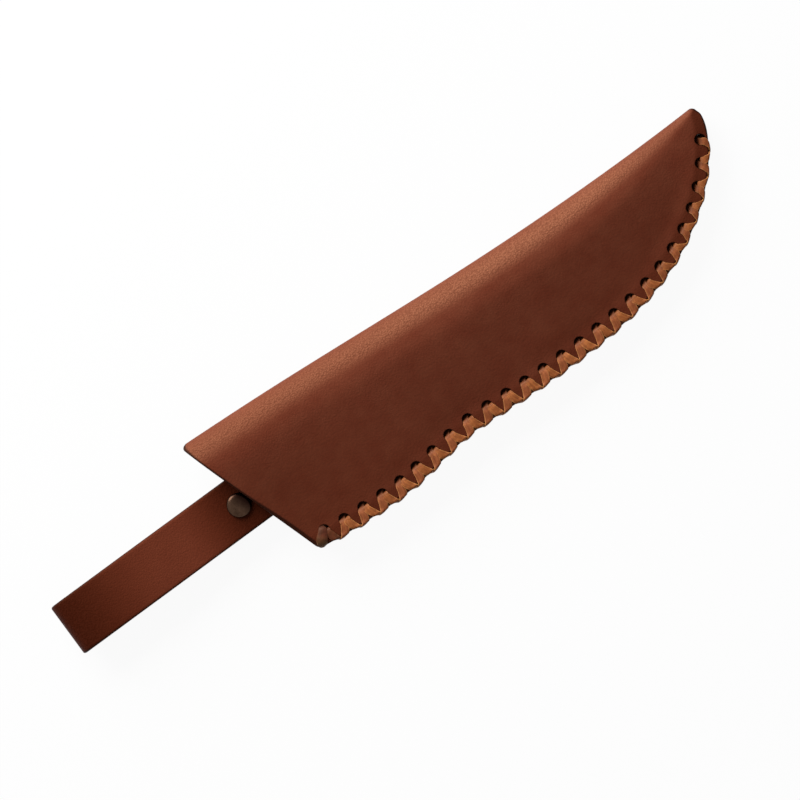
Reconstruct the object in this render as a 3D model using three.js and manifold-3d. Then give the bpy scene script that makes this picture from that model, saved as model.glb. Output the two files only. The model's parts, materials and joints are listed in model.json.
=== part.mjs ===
// Leather knife sheath: one folded blank, a welt strip and a cross-whipped lace make the pouch,
// and a strap riveted inside the mouth folds back on a snap to make a belt loop.
// Millimetres, +Z up, lying on its back: +X runs along the spine to the tip, -Y to the laced edge.
import * as THREE from 'three';
import { mergeVertices } from 'three/addons/utils/BufferGeometryUtils.js';
import ManifoldModule from 'manifold-3d';

const wasm = await ManifoldModule();
wasm.setup();

// Leather and clearances
const leather = 2.0;
const weltThickness = 2.0;
const seatGap = 0.3;
const rivetGap = 0.2;

// Sheath outline in plan: v is the distance from the spine chord towards the laced edge
const sheathLength = 219.2;
const mouthSetback = 1.5;
const mouthLean = 20.7;
const bowFrom = 30;
const bowFromDepth = 0.1;
const bowFromAngle = 0.7;
const bowAt = 133;
const bowDepth = 2.45;
const spineBack = 1.3;
const spineRise = 0.6;
const spineEndAngle = -4.5;
const cornerWidth = 57.8;
const cornerRadius = 3.4;
const heelAt = 40;
const heelWidth = 58.85;
const hipAt = 58;
const hipDrop = 0.45;
const hipAngle = -4.5;
const waistAt = 93;
const waistWidth = 53.15;
const flankAt = 122;
const flankAngle = -2;
const bellyAt = 164;
const bellyWidth = 48.85;
const bellyAngle = -13;
const noseBack = 29.2;
const noseWidth = 38.7;
const noseAngle = -31;
const chinBack = 1.8;
const chinWidth = 10.4;
const chinAngle = -65;
const tipWidth = 3.0;
const tipAngle = -90;

// Pouch section
const pouchHeight = 11;
const rollDepth = 13;
const tightBend = 1.15;
const panelEase = 0.3;
const panelShares = [0.15, 0.4, 0.65, 0.87, 1];
const weltFlat = 11;
const weltWidth = 10.2;
const fullPouchWidth = 56;
const flatPouchWidth = 16;

// Lace and its holes
const holeDiameter = 4.0;
const holeInset = 5.0;
const tipHoleInset = 3.0;
const lacePitch = 8.25;
const laceFromMouth = 7.35;
const laceToTip = 9.6;
const tailReach = 3.2;
const laceWidth = 3.0;
const laceThickness = 0.75;
const laceGap = 0.5;

// Strap, in its own frame: s runs outward from the snap, away from the pouch
const strapWidth = 20.5;
const strapLeather = 2.0;
const strapSkew = 2.85;
const snapDepth = 28.9;
const snapToMouth = 0.57;
const strapReach = 76.5;
const tongueMargin = 6;
const flapTail = 9;
const strapCorner = 5;
const riseFrom = 9;
const riseTo = 50;
const foldRadius = 5;

// Snap fastener
const capDiameter = 9;
const capHeight = 1.7;
const capRim = 0.6;
const socketDiameter = 7.4;
const socketWall = 0.6;
const socketLip = 0.5;
const socketHeadroom = 0.3;
const ringThickness = 0.5;
const ringWire = 0.5;
const studPlay = 0.3;
const studUndercut = 0.4;
const studCrown = 0.2;
const studFlange = 6.6;
const studFlangeThickness = 0.6;
const snapPlay = 0.7;
const edgeBreak = 0.3;
const postDiameter = 2.0;
const postFlange = 7.0;
const postFlangeThickness = 0.6;

// Rivets that hold the strap to the back panel
const rivetFirst = 16;
const rivetSpacing = 12;
const rivetHead = 7.0;
const rivetHeadThickness = 0.7;
const rivetShank = 2.4;
const rivetCapThickness = 0.9;

// Facets
const cornerSteps = 3;
const bodySteps = 32;
const tipSteps = 6;
const tipStretch = 14;
const rollSteps = 10;
const holeSides = 8;
const roundSides = 20;
const foldSteps = 8;

const spineStart = -mouthSetback;
const rivetOffsets = [rivetFirst, rivetFirst + rivetSpacing];
const tongueLength = rivetFirst + rivetSpacing + tongueMargin;

const deg = THREE.MathUtils.degToRad;
const smooth = (p) => THREE.MathUtils.smoothstep(p, 0, 1);

// Closed triangle mesh from points and triangles, turned so that its faces point out
function closedMesh(points, triangles) {
  let volume = 0;
  for (const [a, b, c] of triangles) {
    volume += points[a].dot(new THREE.Vector3().crossVectors(points[b], points[c]));
  }
  const facing = volume < 0 ? triangles.map(([a, b, c]) => [a, c, b]) : triangles;
  const geometry = new THREE.BufferGeometry().setFromPoints(points);
  geometry.setIndex(facing.flat());
  return geometry;
}

function toSolid(geometry) {
  const bare = geometry.clone();
  bare.deleteAttribute('normal');
  bare.deleteAttribute('uv');
  const merged = mergeVertices(bare, 1e-4);
  const index = merged.index.array;
  const kept = [];
  for (let i = 0; i < index.length; i += 3) {
    const [a, b, c] = index.slice(i, i + 3);
    if (a !== b && b !== c && c !== a) {
      kept.push(a, b, c);
    }
  }
  const vertProperties = new Float32Array(merged.attributes.position.array);
  const triVerts = new Uint32Array(kept);
  return new wasm.Manifold(new wasm.Mesh({ numProp: 3, vertProperties, triVerts }));
}

function fromSolid(solid) {
  const mesh = solid.getMesh();
  const geometry = new THREE.BufferGeometry();
  geometry.setAttribute('position', new THREE.BufferAttribute(new Float32Array(mesh.vertProperties), 3));
  geometry.setIndex(new THREE.BufferAttribute(new Uint32Array(mesh.triVerts), 1));
  return geometry;
}

function cut(geometry, cutters) {
  const solid = cutters.reduce((left, cutter) => left.subtract(toSolid(cutter)), toSolid(geometry));
  return fromSolid(solid);
}

// Upright cylinder used to punch a hole
function punch(x, y, low, high, diameter, sides) {
  const cylinder = new THREE.CylinderGeometry(diameter / 2, diameter / 2, high - low, sides);
  cylinder.rotateX(Math.PI / 2);
  cylinder.translate(x, y, (low + high) / 2);
  return cylinder;
}

// Turned piece: profile points are [radius, height], revolved about the vertical
function turned(profile) {
  const points = profile.map(([r, z]) => new THREE.Vector2(r, z));
  const lathe = new THREE.LatheGeometry(points, roundSides);
  lathe.rotateX(Math.PI / 2);
  return fromSolid(outward(lathe));
}

function outward(geometry) {
  const solid = toSolid(geometry);
  if (solid.volume() >= 0) {
    return solid;
  }
  const flipped = geometry.clone();
  const index = flipped.index.array;
  for (let i = 0; i < index.length; i += 3) {
    [index[i + 1], index[i + 2]] = [index[i + 2], index[i + 1]];
  }
  return toSolid(flipped);
}

const root = new THREE.Group();
const pouch = new THREE.Group();
const strap = new THREE.Group();
root.add(pouch, strap);

function piece(group, name, geometry, look) {
  const mesh = new THREE.Mesh(geometry, new THREE.MeshStandardMaterial(look));
  mesh.name = name;
  group.add(mesh);
  return mesh;
}

const leatherLook = { color: 0x6e3420, roughness: 0.55, metalness: 0 };
const weltLook = { color: 0x5a2a18, roughness: 0.7, metalness: 0 };
const laceLook = { color: 0xb0713a, roughness: 0.5, metalness: 0 };
const bronzeLook = { color: 0x4a3c30, roughness: 0.35, metalness: 1 };
const steelLook = { color: 0x9a948a, roughness: 0.4, metalness: 1 };

// Point of an outline and the direction the outline has there
function knot(u, v, angle) {
  const dir = new THREE.Vector2(Math.cos(deg(angle)), Math.sin(deg(angle)));
  return { at: new THREE.Vector2(u, v), dir };
}

// Path of smooth curves through knots
function curvesThrough(knots) {
  const path = new THREE.CurvePath();
  for (let k = 1; k < knots.length; k += 1) {
    const from = knots[k - 1];
    const to = knots[k];
    const handle = from.at.distanceTo(to.at) / 3;
    const leave = from.at.clone().addScaledVector(from.dir, handle);
    const arrive = to.at.clone().addScaledVector(to.dir, -handle);
    path.add(new THREE.CubicBezierCurve(from.at, leave, arrive, to.at));
  }
  return path;
}

// Laced edge of the blank: from the mouth round the corner, past heel, hip, waist, flank, belly,
// nose and chin, to the tip
function edgePath() {
  const lean = deg(mouthLean);
  const mouthDirection = new THREE.Vector2(Math.sin(lean), Math.cos(lean));
  const corner = new THREE.Vector2(spineStart + cornerWidth * Math.tan(lean), cornerWidth);
  const heelRise = new THREE.Vector2(heelAt - corner.x, heelWidth - cornerWidth).normalize();
  return curvesThrough([
    { at: corner.clone().addScaledVector(mouthDirection, -cornerRadius), dir: mouthDirection },
    { at: corner.clone().addScaledVector(heelRise, cornerRadius), dir: heelRise },
    knot(heelAt, heelWidth, 0),
    knot(hipAt, heelWidth - hipDrop, hipAngle),
    knot(waistAt, waistWidth, 0),
    knot(flankAt, waistWidth, flankAngle),
    knot(bellyAt, bellyWidth, bellyAngle),
    knot(sheathLength - noseBack, noseWidth, noseAngle),
    knot(sheathLength - chinBack, chinWidth, chinAngle),
    knot(sheathLength, tipWidth, tipAngle),
  ]);
}

const edge = edgePath();
const edgeLength = edge.getLength();
const cornerLength = edge.curves[0].getLength();

// Spine of the blank: straight at the mouth, then bowed inward a little, and out again at the tip
const spine = curvesThrough([
  knot(spineStart, 0, 0),
  knot(bowFrom, bowFromDepth, bowFromAngle),
  knot(bowAt, bowDepth, 0),
  knot(sheathLength - spineBack, -spineRise, spineEndAngle),
]);

// A station is a straight line in plan from the spine to the laced edge
function station(t) {
  const back = spine.getPoint(t);
  const rim = edge.getPoint(t);
  return { back, rim, width: back.distanceTo(rim) };
}

// Point of a station at distance w from the spine and height z
function onStation(at, w, z) {
  const plan = at.back.clone().lerp(at.rim, w / at.width);
  return new THREE.Vector3(plan.x, -plan.y, z);
}

function stationValues() {
  const values = [];
  const bodyLength = edgeLength - cornerLength - tipStretch;
  for (let k = 0; k < cornerSteps; k += 1) {
    values.push((cornerLength * k) / cornerSteps);
  }
  for (let k = 0; k < bodySteps; k += 1) {
    values.push(cornerLength + (bodyLength * k) / bodySteps);
  }
  for (let k = 0; k <= tipSteps; k += 1) {
    values.push(edgeLength - tipStretch + (tipStretch * k) / tipSteps);
  }
  return values.map((length) => length / edgeLength);
}

// Height of the laced edge: back panel, welt and front panel with their gaps
const edgeHeight = 2 * leather + weltThickness + 2 * seatGap;

// Flat band along the laced edge, narrower where the pouch narrows to the tip
const tipShare = 0.3;
const flatBand = (width) => Math.min(weltFlat, tipShare * width);

// Outer section from the back panel's edge, round the spine, to the front panel's edge, as [w, z]
function pouchSection(width) {
  const flat = flatBand(width);
  const swell = smooth((width - flatPouchWidth) / (fullPouchWidth - flatPouchWidth));
  const height = edgeHeight + (pouchHeight - edgeHeight) * swell;
  const tightRoll = (height / 2) ** 2 / (tightBend * leather);
  const roll = Math.min(rollDepth, 2 * tipShare * width, tightRoll);
  const section = [[width, 0], [width - flat, 0], [(width - flat + roll) / 2, 0]];
  for (let k = 0; k <= rollSteps; k += 1) {
    const angle = (Math.PI * k) / rollSteps;
    section.push([roll * (1 - Math.sin(angle)), (height / 2) * (1 - Math.cos(angle))]);
  }
  for (const p of panelShares) {
    const fall = THREE.MathUtils.lerp(p, smooth(p), panelEase);
    const w = THREE.MathUtils.lerp(roll, width - flat, p);
    section.push([w, THREE.MathUtils.lerp(height, edgeHeight, fall)]);
  }
  section.push([width, edgeHeight]);
  return section;
}

// The same section moved inward by the leather's thickness
function innerSection(section) {
  const last = section.length - 1;
  return section.map(([w, z], j) => {
    const [w0, z0] = section[Math.max(j - 1, 0)];
    const [w1, z1] = section[Math.min(j + 1, last)];
    const length = Math.hypot(w1 - w0, z1 - z0);
    return [w + (leather * (z1 - z0)) / length, z - (leather * (w1 - w0)) / length];
  });
}

// Solid lofted through rings of points, one ring for each station, closed at both ends
function loft(rings) {
  const count = rings[0].length;
  const triangles = [];
  for (let i = 0; i + 1 < rings.length; i += 1) {
    for (let j = 0; j < count; j += 1) {
      const next = (j + 1) % count;
      const a = i * count + j;
      const b = i * count + next;
      triangles.push([a, b, b + count], [a, b + count, a + count]);
    }
  }
  return { points: rings.flat(), triangles };
}

// Wall between an outer and an inner line of points: the end caps are quads across the wall
function lofted(rings, capPairs) {
  const { points, triangles } = loft(rings);
  const count = rings[0].length;
  const last = (rings.length - 1) * count;
  for (const [a, b, c, d] of capPairs) {
    triangles.push([b, a, c], [c, a, d]);
    triangles.push([last + a, last + b, last + c], [last + a, last + c, last + d]);
  }
  return closedMesh(points, triangles);
}

const stations = stationValues().map(station);

function pouchBlank() {
  const rings = stations.map((at) => {
    const outer = pouchSection(at.width);
    const inner = innerSection(outer);
    return [...outer, ...inner.reverse()].map(([w, z]) => onStation(at, w, z));
  });
  const half = rings[0].length / 2;
  const caps = [];
  for (let j = 0; j + 1 < half; j += 1) {
    caps.push([j, j + 1, 2 * half - 2 - j, 2 * half - 1 - j]);
  }
  return lofted(rings, caps);
}

function weltBlank() {
  const low = leather + seatGap;
  const high = low + weltThickness;
  const rings = stations.map((at) => {
    const inner = at.width - flatBand(at.width) * (weltWidth / weltFlat);
    return [[inner, low], [at.width, low], [at.width, high], [inner, high]].map(
      ([w, z]) => onStation(at, w, z),
    );
  });
  return lofted(rings, [[0, 1, 2, 3]]);
}

// Frame on the laced edge at an arc length: point, tangent to the tip and outward normal
function edgeFrame(length) {
  const t = THREE.MathUtils.clamp(length / edgeLength, 0, 1);
  const at = edge.getPoint(t);
  const along = edge.getTangent(t);
  return {
    point: new THREE.Vector3(at.x, -at.y, 0),
    along: new THREE.Vector3(along.x, -along.y, 0),
    out: new THREE.Vector3(-along.y, -along.x, 0),
  };
}

// Point given by distances along the edge, out from it and up
function framePoint(frame, along, out, z) {
  const point = frame.point.clone();
  point.addScaledVector(frame.along, along).addScaledVector(frame.out, out);
  point.z = z;
  return point;
}

const lacedLength = edgeLength - laceFromMouth - laceToTip;
const stitchCount = Math.round(lacedLength / lacePitch);
const stitchStep = lacedLength / stitchCount;

// Hole frames sit inside the edge, closer to it at the tip
const taperFrom = 0.6;
const taperTo = 0.92;
const holes = Array.from({ length: stitchCount + 1 }, (_, k) => {
  const frame = edgeFrame(laceFromMouth + k * stitchStep);
  const near = smooth((k / stitchCount - taperFrom) / (taperTo - taperFrom));
  const inset = THREE.MathUtils.lerp(holeInset, tipHoleInset, near);
  return { ...frame, inset, point: framePoint(frame, 0, -inset, 0) };
});

// Feet, where the lace goes over the edge: halfway between holes, and one for the tail at the mouth
const feet = Array.from({ length: stitchCount + 1 }, (_, k) => {
  const before = k === 0 ? tailReach : stitchStep / 2;
  return edgeFrame(laceFromMouth + k * stitchStep - before);
});

const lacePunches = holes.map(({ point }) =>
  punch(point.x, point.y, -leather, edgeHeight + leather, holeDiameter, holeSides));

// The lace: rings of six points along its route. The first pass runs to the tip on the outer side
// of each hole, the second comes back on the inner side and lies over the first at the edge.
const holeRadius = (holeDiameter / 2) * Math.cos(Math.PI / holeSides);
const strand = holeRadius - laceGap / 2 - seatGap;
const strandHalf = strand / 2;
const strandOffset = (strand + laceGap) / 2;
const strandShift = 0.3 * strand;
const halfWidth = laceWidth / 2;
const halfThick = laceThickness / 2;
const frontLevel = edgeHeight + seatGap + halfThick;
const backLevel = -seatGap - halfThick;
const passLift = laceThickness + laceGap;
const crestReach = seatGap + halfThick;
const rimShift = 0.62 * strand;
const rimReach = 0.42 * strand;
const rimHalf = strandHalf;
const rimThick = halfThick + 0.08;
const footInset = 0.45;
const footSpread = 0.5 * laceWidth;
const backSpread = 0.68 * laceWidth;
const cornerShare = 0.7;
const cornerRise = 0.4;
const holeEntry = 0.2;
const up = new THREE.Vector3(0, 0, 1);
const down = new THREE.Vector3(0, 0, -1);

const ring = (point, normal, half, thick) => ({ point, normal, half, thick });

// Normal between the inward direction of a hole and straight up or down
function rimNormal(hole, vertical) {
  return vertical.clone().addScaledVector(hole.out, -0.5).normalize();
}

function edgeNormal(foot, vertical) {
  return foot.out.clone().add(vertical).normalize();
}

// Point on the straight line of a leg, at a share of its length and a height of its own
function onLeg(from, to, share, z) {
  const point = from.clone().lerp(to, share);
  point.z = z;
  return point;
}

// Rings from the middle of one hole, out of its front and over the edge at a foot.
// toward is +1 on the way to the tip and -1 on the way back; lift raises the second pass.
function frontRings(hole, foot, toward, lift) {
  const inward = hole.out.clone().negate();
  const side = toward * strandOffset;
  const crest = crestReach + lift;
  const rim = framePoint(hole, toward * rimShift, side + rimReach, frontLevel);
  const sole = framePoint(foot, -toward * footSpread, -footInset, frontLevel + 0.75 * lift);
  const turnHeight = edgeHeight + cornerRise + 0.45 * lift;
  const turn = framePoint(foot, -toward * cornerShare * footSpread, crest - 0.1 * lift, turnHeight);
  const exit = framePoint(hole, toward * strandShift, side, edgeHeight - holeEntry);
  return [
    ring(framePoint(hole, 0, side, edgeHeight / 2), inward, strandHalf, strandHalf),
    ring(exit, inward, strandHalf, strandHalf),
    ring(rim, rimNormal(hole, up), rimHalf, rimThick),
    ring(onLeg(rim, sole, 0.4, frontLevel + 0.1 * lift), up, 0.75 * halfWidth, halfThick),
    ring(onLeg(rim, sole, 0.7, frontLevel + 0.3 * lift), up, halfWidth, halfThick),
    ring(sole, up, halfWidth, halfThick),
    ring(turn, edgeNormal(foot, up), 0.93 * halfWidth, halfThick),
    ring(framePoint(foot, 0, crest, edgeHeight / 2), foot.out, 0.9 * halfWidth, halfThick),
  ];
}

// Rings from the edge at a foot, along the back
function footRings(foot, toward, lift) {
  const crest = crestReach + lift;
  const turnHeight = -cornerRise - 0.25 * lift;
  const turn = framePoint(foot, toward * cornerShare * backSpread, crest - 0.15 * lift, turnHeight);
  const sole = framePoint(foot, toward * backSpread, -footInset, backLevel);
  return [
    ring(turn, edgeNormal(foot, down), 0.93 * halfWidth, halfThick),
    ring(sole, down, halfWidth, halfThick),
  ];
}

// Rings along the back from the foot's last ring and up into a hole
function entryRings(sole, hole, toward) {
  const inward = hole.out.clone().negate();
  const side = toward * strandOffset;
  const rim = framePoint(hole, -toward * rimShift, side + rimReach, backLevel);
  return [
    ring(onLeg(sole, rim, 0.55, backLevel), down, 0.7 * halfWidth, halfThick),
    ring(rim, rimNormal(hole, down), rimHalf, rimThick),
    ring(framePoint(hole, -toward * strandShift, side, holeEntry), inward, strandHalf, strandHalf),
  ];
}

function stitchRings(from, foot, to, toward, lift) {
  const back = footRings(foot, toward, lift);
  const entry = entryRings(back[back.length - 1].point, to, toward);
  return [...frontRings(from, foot, toward, lift), ...back, ...entry];
}

// Out to the tip, one turn in the last hole, back to the mouth, and a last wrap at the corner
function laceRoute() {
  const last = holes[stitchCount];
  const turnPoint = framePoint(last, -strandShift, 0, edgeHeight / 2);
  const turn = ring(turnPoint, last.out.clone().negate(), strandHalf, strandHalf);
  const out = [];
  const back = [];
  for (let k = 1; k <= stitchCount; k += 1) {
    out.push(...stitchRings(holes[k - 1], feet[k], holes[k], 1, 0));
    back.unshift(...stitchRings(holes[k], feet[k], holes[k - 1], -1, passLift));
  }
  const tail = [...frontRings(holes[0], feet[0], -1, 0), ...footRings(feet[0], -1, 0)];
  return [...out, turn, ...back.slice(1), ...tail];
}

// Six-sided lens section of the lace at each ring
const lens = [[1, 0], [0.55, 1], [-0.55, 1], [-1, 0], [-0.55, -1], [0.55, -1]];

function laceRings(route) {
  return route.map(({ point, normal, half, thick }, i) => {
    const before = route[Math.max(i - 1, 0)].point;
    const after = route[Math.min(i + 1, route.length - 1)].point;
    const ahead = after.clone().sub(before).normalize();
    const face = normal.clone().addScaledVector(ahead, -normal.dot(ahead)).normalize();
    const across = new THREE.Vector3().crossVectors(ahead, face);
    return lens.map(([a, b]) =>
      point.clone().addScaledVector(across, a * half).addScaledVector(face, b * thick));
  });
}

// Least gap of the lace to itself, on points spread over its surface
function leastSelfGap(rings) {
  const ringSplit = 4;
  const sideSplit = 3;
  const apart = 4 * ringSplit;
  const cell = 1.5;
  const cells = new Map();
  const points = [];
  for (let i = 0; i + 1 < rings.length; i += 1) {
    for (let s = 0; s < ringSplit; s += 1) {
      for (let j = 0; j < lens.length; j += 1) {
        for (let q = 0; q < sideSplit; q += 1) {
          const next = (j + 1) % lens.length;
          const a = rings[i][j].clone().lerp(rings[i + 1][j], s / ringSplit);
          const b = rings[i][next].clone().lerp(rings[i + 1][next], s / ringSplit);
          points.push({ at: a.lerp(b, q / sideSplit), step: i * ringSplit + s });
        }
      }
    }
  }
  const key = (x, y, z) => `${x},${y},${z}`;
  const cellOf = (v) => [v.x, v.y, v.z].map((value) => Math.floor(value / cell));
  for (const point of points) {
    const name = key(...cellOf(point.at));
    cells.set(name, [...(cells.get(name) ?? []), point]);
  }
  let least = cell;
  const around = [-1, 0, 1];
  for (const point of points) {
    const [x, y, z] = cellOf(point.at);
    for (const dx of around) {
      for (const dy of around) {
        for (const dz of around) {
          for (const other of cells.get(key(x + dx, y + dy, z + dz)) ?? []) {
            if (other.step - point.step > apart) {
              least = Math.min(least, point.at.distanceTo(other.at));
            }
          }
        }
      }
    }
  }
  return least;
}

function laceTube() {
  const rings = laceRings(laceRoute());
  console.log(`lace: ${holes.length} holes, ${rings.length} rings, least gap to itself`,
    leastSelfGap(rings).toFixed(3), 'mm');
  const { points, triangles } = loft(rings);
  const lastRing = points.length - lens.length;
  for (let j = 1; j + 1 < lens.length; j += 1) {
    triangles.push([0, j + 1, j], [lastRing, lastRing + j, lastRing + j + 1]);
  }
  return closedMesh(points, triangles);
}

// Strap levels at the snap and at the fold
const tongueBottom = leather + seatGap;
const tongueTop = tongueBottom + strapLeather;
const socketHeight = socketLip + ringThickness + studCrown + socketHeadroom + socketWall + rivetGap;
const flapTop = tongueBottom - socketHeight - snapPlay - studFlangeThickness - 2 * rivetGap;
const flapBottom = flapTop - strapLeather;
const lowerCentre = flapBottom + foldRadius;
const upperCentre = lowerCentre + seatGap;
const foldCentre = strapReach - foldRadius;
const foldInner = foldRadius - strapLeather;
const legBottom = upperCentre + foldInner;
const legTop = upperCentre + foldRadius;

// Extrudes a side view [s, z] across the strap and trims its corners to a plan outline
function strapSolid(side, planFrom, planTo) {
  const across = new THREE.ExtrudeGeometry(side, {
    depth: strapWidth, bevelEnabled: false, curveSegments: foldSteps,
  });
  across.rotateX(Math.PI / 2);
  across.translate(0, strapWidth / 2, 0);
  const half = strapWidth / 2;
  const plan = new THREE.Shape();
  plan.moveTo(planTo, -half);
  plan.lineTo(planTo, half);
  plan.lineTo(planFrom + strapCorner, half);
  plan.absarc(planFrom + strapCorner, half - strapCorner, strapCorner, Math.PI / 2, Math.PI, false);
  plan.lineTo(planFrom, -half + strapCorner);
  plan.absarc(planFrom + strapCorner, -half + strapCorner, strapCorner, Math.PI, 1.5 * Math.PI, false);
  plan.closePath();
  const tall = 2 * (legTop - flapBottom);
  const trim = new THREE.ExtrudeGeometry(plan, { depth: tall, bevelEnabled: false, curveSegments: 4 });
  trim.translate(0, 0, flapBottom - tall / 4);
  return fromSolid(toSolid(across).intersect(toSolid(trim)));
}

function strapFrontLeg() {
  const middle = (riseFrom + riseTo) / 2;
  const side = new THREE.Shape();
  side.moveTo(-tongueLength, tongueBottom);
  side.lineTo(riseFrom, tongueBottom);
  side.bezierCurveTo(middle, tongueBottom, middle, legBottom, riseTo, legBottom);
  side.lineTo(foldCentre, legBottom);
  side.absarc(foldCentre, upperCentre, foldInner, Math.PI / 2, 0, true);
  side.lineTo(strapReach, upperCentre);
  side.absarc(foldCentre, upperCentre, foldRadius, 0, Math.PI / 2, false);
  side.lineTo(riseTo, legTop);
  side.bezierCurveTo(middle, legTop, middle, tongueTop, riseFrom, tongueTop);
  side.lineTo(-tongueLength, tongueTop);
  side.closePath();
  const shank = rivetShank + 2 * rivetGap;
  const rivetHoles = rivetOffsets.map((s) => punch(-s, 0, 0, 2 * tongueTop, shank, roundSides));
  const snapHole = punch(0, 0, 0, 2 * tongueTop, postDiameter + 2 * rivetGap, roundSides);
  return cut(strapSolid(side, -tongueLength, strapReach + foldRadius), [...rivetHoles, snapHole]);
}

function strapRearLeg() {
  const side = new THREE.Shape();
  side.moveTo(-flapTail, flapBottom);
  side.lineTo(foldCentre, flapBottom);
  side.absarc(foldCentre, lowerCentre, foldRadius, 1.5 * Math.PI, 2 * Math.PI, false);
  side.lineTo(foldCentre + foldInner, lowerCentre);
  side.absarc(foldCentre, lowerCentre, foldInner, 2 * Math.PI, 1.5 * Math.PI, true);
  side.lineTo(-flapTail, flapTop);
  side.closePath();
  const low = flapBottom - leather;
  const snapHole = punch(0, 0, low, flapTop + leather, postDiameter + 2 * rivetGap, roundSides);
  return cut(strapSolid(side, -flapTail, strapReach + foldRadius), [snapHole]);
}

// Snap: a domed cap whose post is clenched in a socket with a split spring ring, above the flap,
// and a stud held by a flanged post from below it
const socketTop = tongueBottom - rivetGap;
const socketBottom = socketTop - socketHeight;
const socketRadius = socketDiameter / 2;
const cavityRadius = socketRadius - socketWall;
const ringOuter = cavityRadius - rivetGap;
const ringInner = ringOuter - ringWire;
const ringBottom = socketBottom + socketLip + rivetGap;
const studBase = flapTop + rivetGap;
const studRadius = ringInner - studPlay;
const postBore = postDiameter / 2 + rivetGap;

function snapCap() {
  const radius = capDiameter / 2;
  const seat = tongueTop + rivetGap;
  const post = postDiameter / 2;
  const postEnd = socketTop - socketWall;
  const profile = [[0, postEnd], [post, postEnd], [post, seat]];
  profile.push([radius - edgeBreak, seat], [radius, seat + capRim / 2]);
  const domeSteps = 5;
  for (let k = 0; k <= domeSteps; k += 1) {
    const angle = (k / domeSteps) * (Math.PI / 2);
    const r = k === domeSteps ? 0 : (radius - edgeBreak / 2) * Math.cos(angle);
    profile.push([r, seat + capRim + (capHeight - capRim) * Math.sin(angle)]);
  }
  return turned(profile);
}

function snapSocket() {
  const lip = (ringInner + ringOuter) / 2;
  return turned([
    [postBore, socketTop],
    [postBore, socketTop - socketWall],
    [cavityRadius, socketTop - socketWall],
    [cavityRadius, socketBottom + socketLip],
    [lip, socketBottom + socketLip],
    [lip, socketBottom],
    [socketRadius - edgeBreak, socketBottom],
    [socketRadius, socketBottom + edgeBreak],
    [socketRadius, socketTop],
    [postBore, socketTop],
  ]);
}

function snapRing() {
  const split = deg(14);
  const shape = new THREE.Shape();
  shape.absarc(0, 0, ringOuter, split, 2 * Math.PI - split, false);
  shape.absarc(0, 0, ringInner, 2 * Math.PI - split, split, true);
  shape.closePath();
  const wire = new THREE.ExtrudeGeometry(shape, {
    depth: ringThickness, bevelEnabled: false, curveSegments: roundSides,
  });
  wire.translate(0, 0, ringBottom);
  return wire;
}

function snapStud() {
  const neckBase = studBase + studFlangeThickness;
  const neck = studRadius - studUndercut;
  const top = ringBottom + ringThickness + studCrown;
  return turned([
    [postBore, studBase],
    [studFlange / 2, studBase],
    [studFlange / 2, neckBase],
    [neck, neckBase + studCrown],
    [neck, ringBottom],
    [studRadius, ringBottom + ringThickness / 2],
    [studRadius - studCrown, top],
    [postBore, top],
    [postBore, studBase],
  ]);
}

function snapPost() {
  const seat = flapBottom - rivetGap;
  const top = ringBottom + ringThickness;
  const post = postDiameter / 2;
  return turned([
    [0, seat - postFlangeThickness],
    [postFlange / 2 - edgeBreak, seat - postFlangeThickness],
    [postFlange / 2, seat],
    [post, seat],
    [post, top],
    [0, top],
  ]);
}

const rivetTop = tongueTop + rivetGap + rivetCapThickness / 2;

function rivetBody() {
  const seat = -rivetGap;
  return turned([
    [0, seat - rivetHeadThickness],
    [rivetHead / 2 - edgeBreak, seat - rivetHeadThickness],
    [rivetHead / 2, seat],
    [rivetShank / 2, seat],
    [rivetShank / 2, rivetTop],
    [0, rivetTop],
  ]);
}

function rivetCap() {
  const seat = tongueTop + rivetGap;
  const bore = rivetShank / 2 + rivetGap;
  return turned([
    [bore, seat],
    [rivetHead / 2, seat],
    [rivetHead / 2 - edgeBreak, seat + rivetCapThickness],
    [0, seat + rivetCapThickness],
    [0, rivetTop + rivetGap],
    [bore, rivetTop + rivetGap],
    [bore, seat],
  ]);
}

// The snap sits just outside the mouth, so that its socket clears the back panel
const lean = deg(mouthLean);
const snapAt = spineStart + snapDepth * Math.tan(lean) - (socketRadius + snapToMouth) / Math.cos(lean);
strap.position.set(snapAt, -snapDepth, 0);
strap.rotation.z = Math.PI + deg(strapSkew);
strap.updateMatrixWorld(true);

const rivetPunches = rivetOffsets.map((s) => {
  const at = new THREE.Vector3(-s, 0, 0).applyMatrix4(strap.matrixWorld);
  return punch(at.x, at.y, -leather, tongueBottom, rivetShank + 2 * rivetGap, roundSides);
});

piece(pouch, 'sheath_body', cut(pouchBlank(), [...lacePunches, ...rivetPunches]), leatherLook);
piece(pouch, 'welt_strip', cut(weltBlank(), lacePunches), weltLook);
piece(pouch, 'edge_lace', laceTube(), laceLook);
piece(strap, 'belt_strap', strapFrontLeg(), leatherLook);
piece(strap, 'strap_flap', strapRearLeg(), leatherLook);
piece(strap, 'snap_cap', snapCap(), bronzeLook);
piece(strap, 'snap_socket', snapSocket(), bronzeLook);
piece(strap, 'snap_spring_ring', snapRing(), steelLook);
piece(strap, 'snap_stud', snapStud(), bronzeLook);
piece(strap, 'snap_post', snapPost(), bronzeLook);
rivetOffsets.forEach((s, k) => {
  piece(strap, `anchor_rivet_${k + 1}`, rivetBody(), bronzeLook).position.x = -s;
  piece(strap, `anchor_rivet_${k + 1}_cap`, rivetCap(), bronzeLook).position.x = -s;
});

// Origin under the middle of the whole part
const whole = new THREE.Box3().setFromObject(root);
const middle = whole.getCenter(new THREE.Vector3());
root.position.set(-middle.x, -middle.y, -whole.min.z);

export default root;
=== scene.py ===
import json
import math

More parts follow.
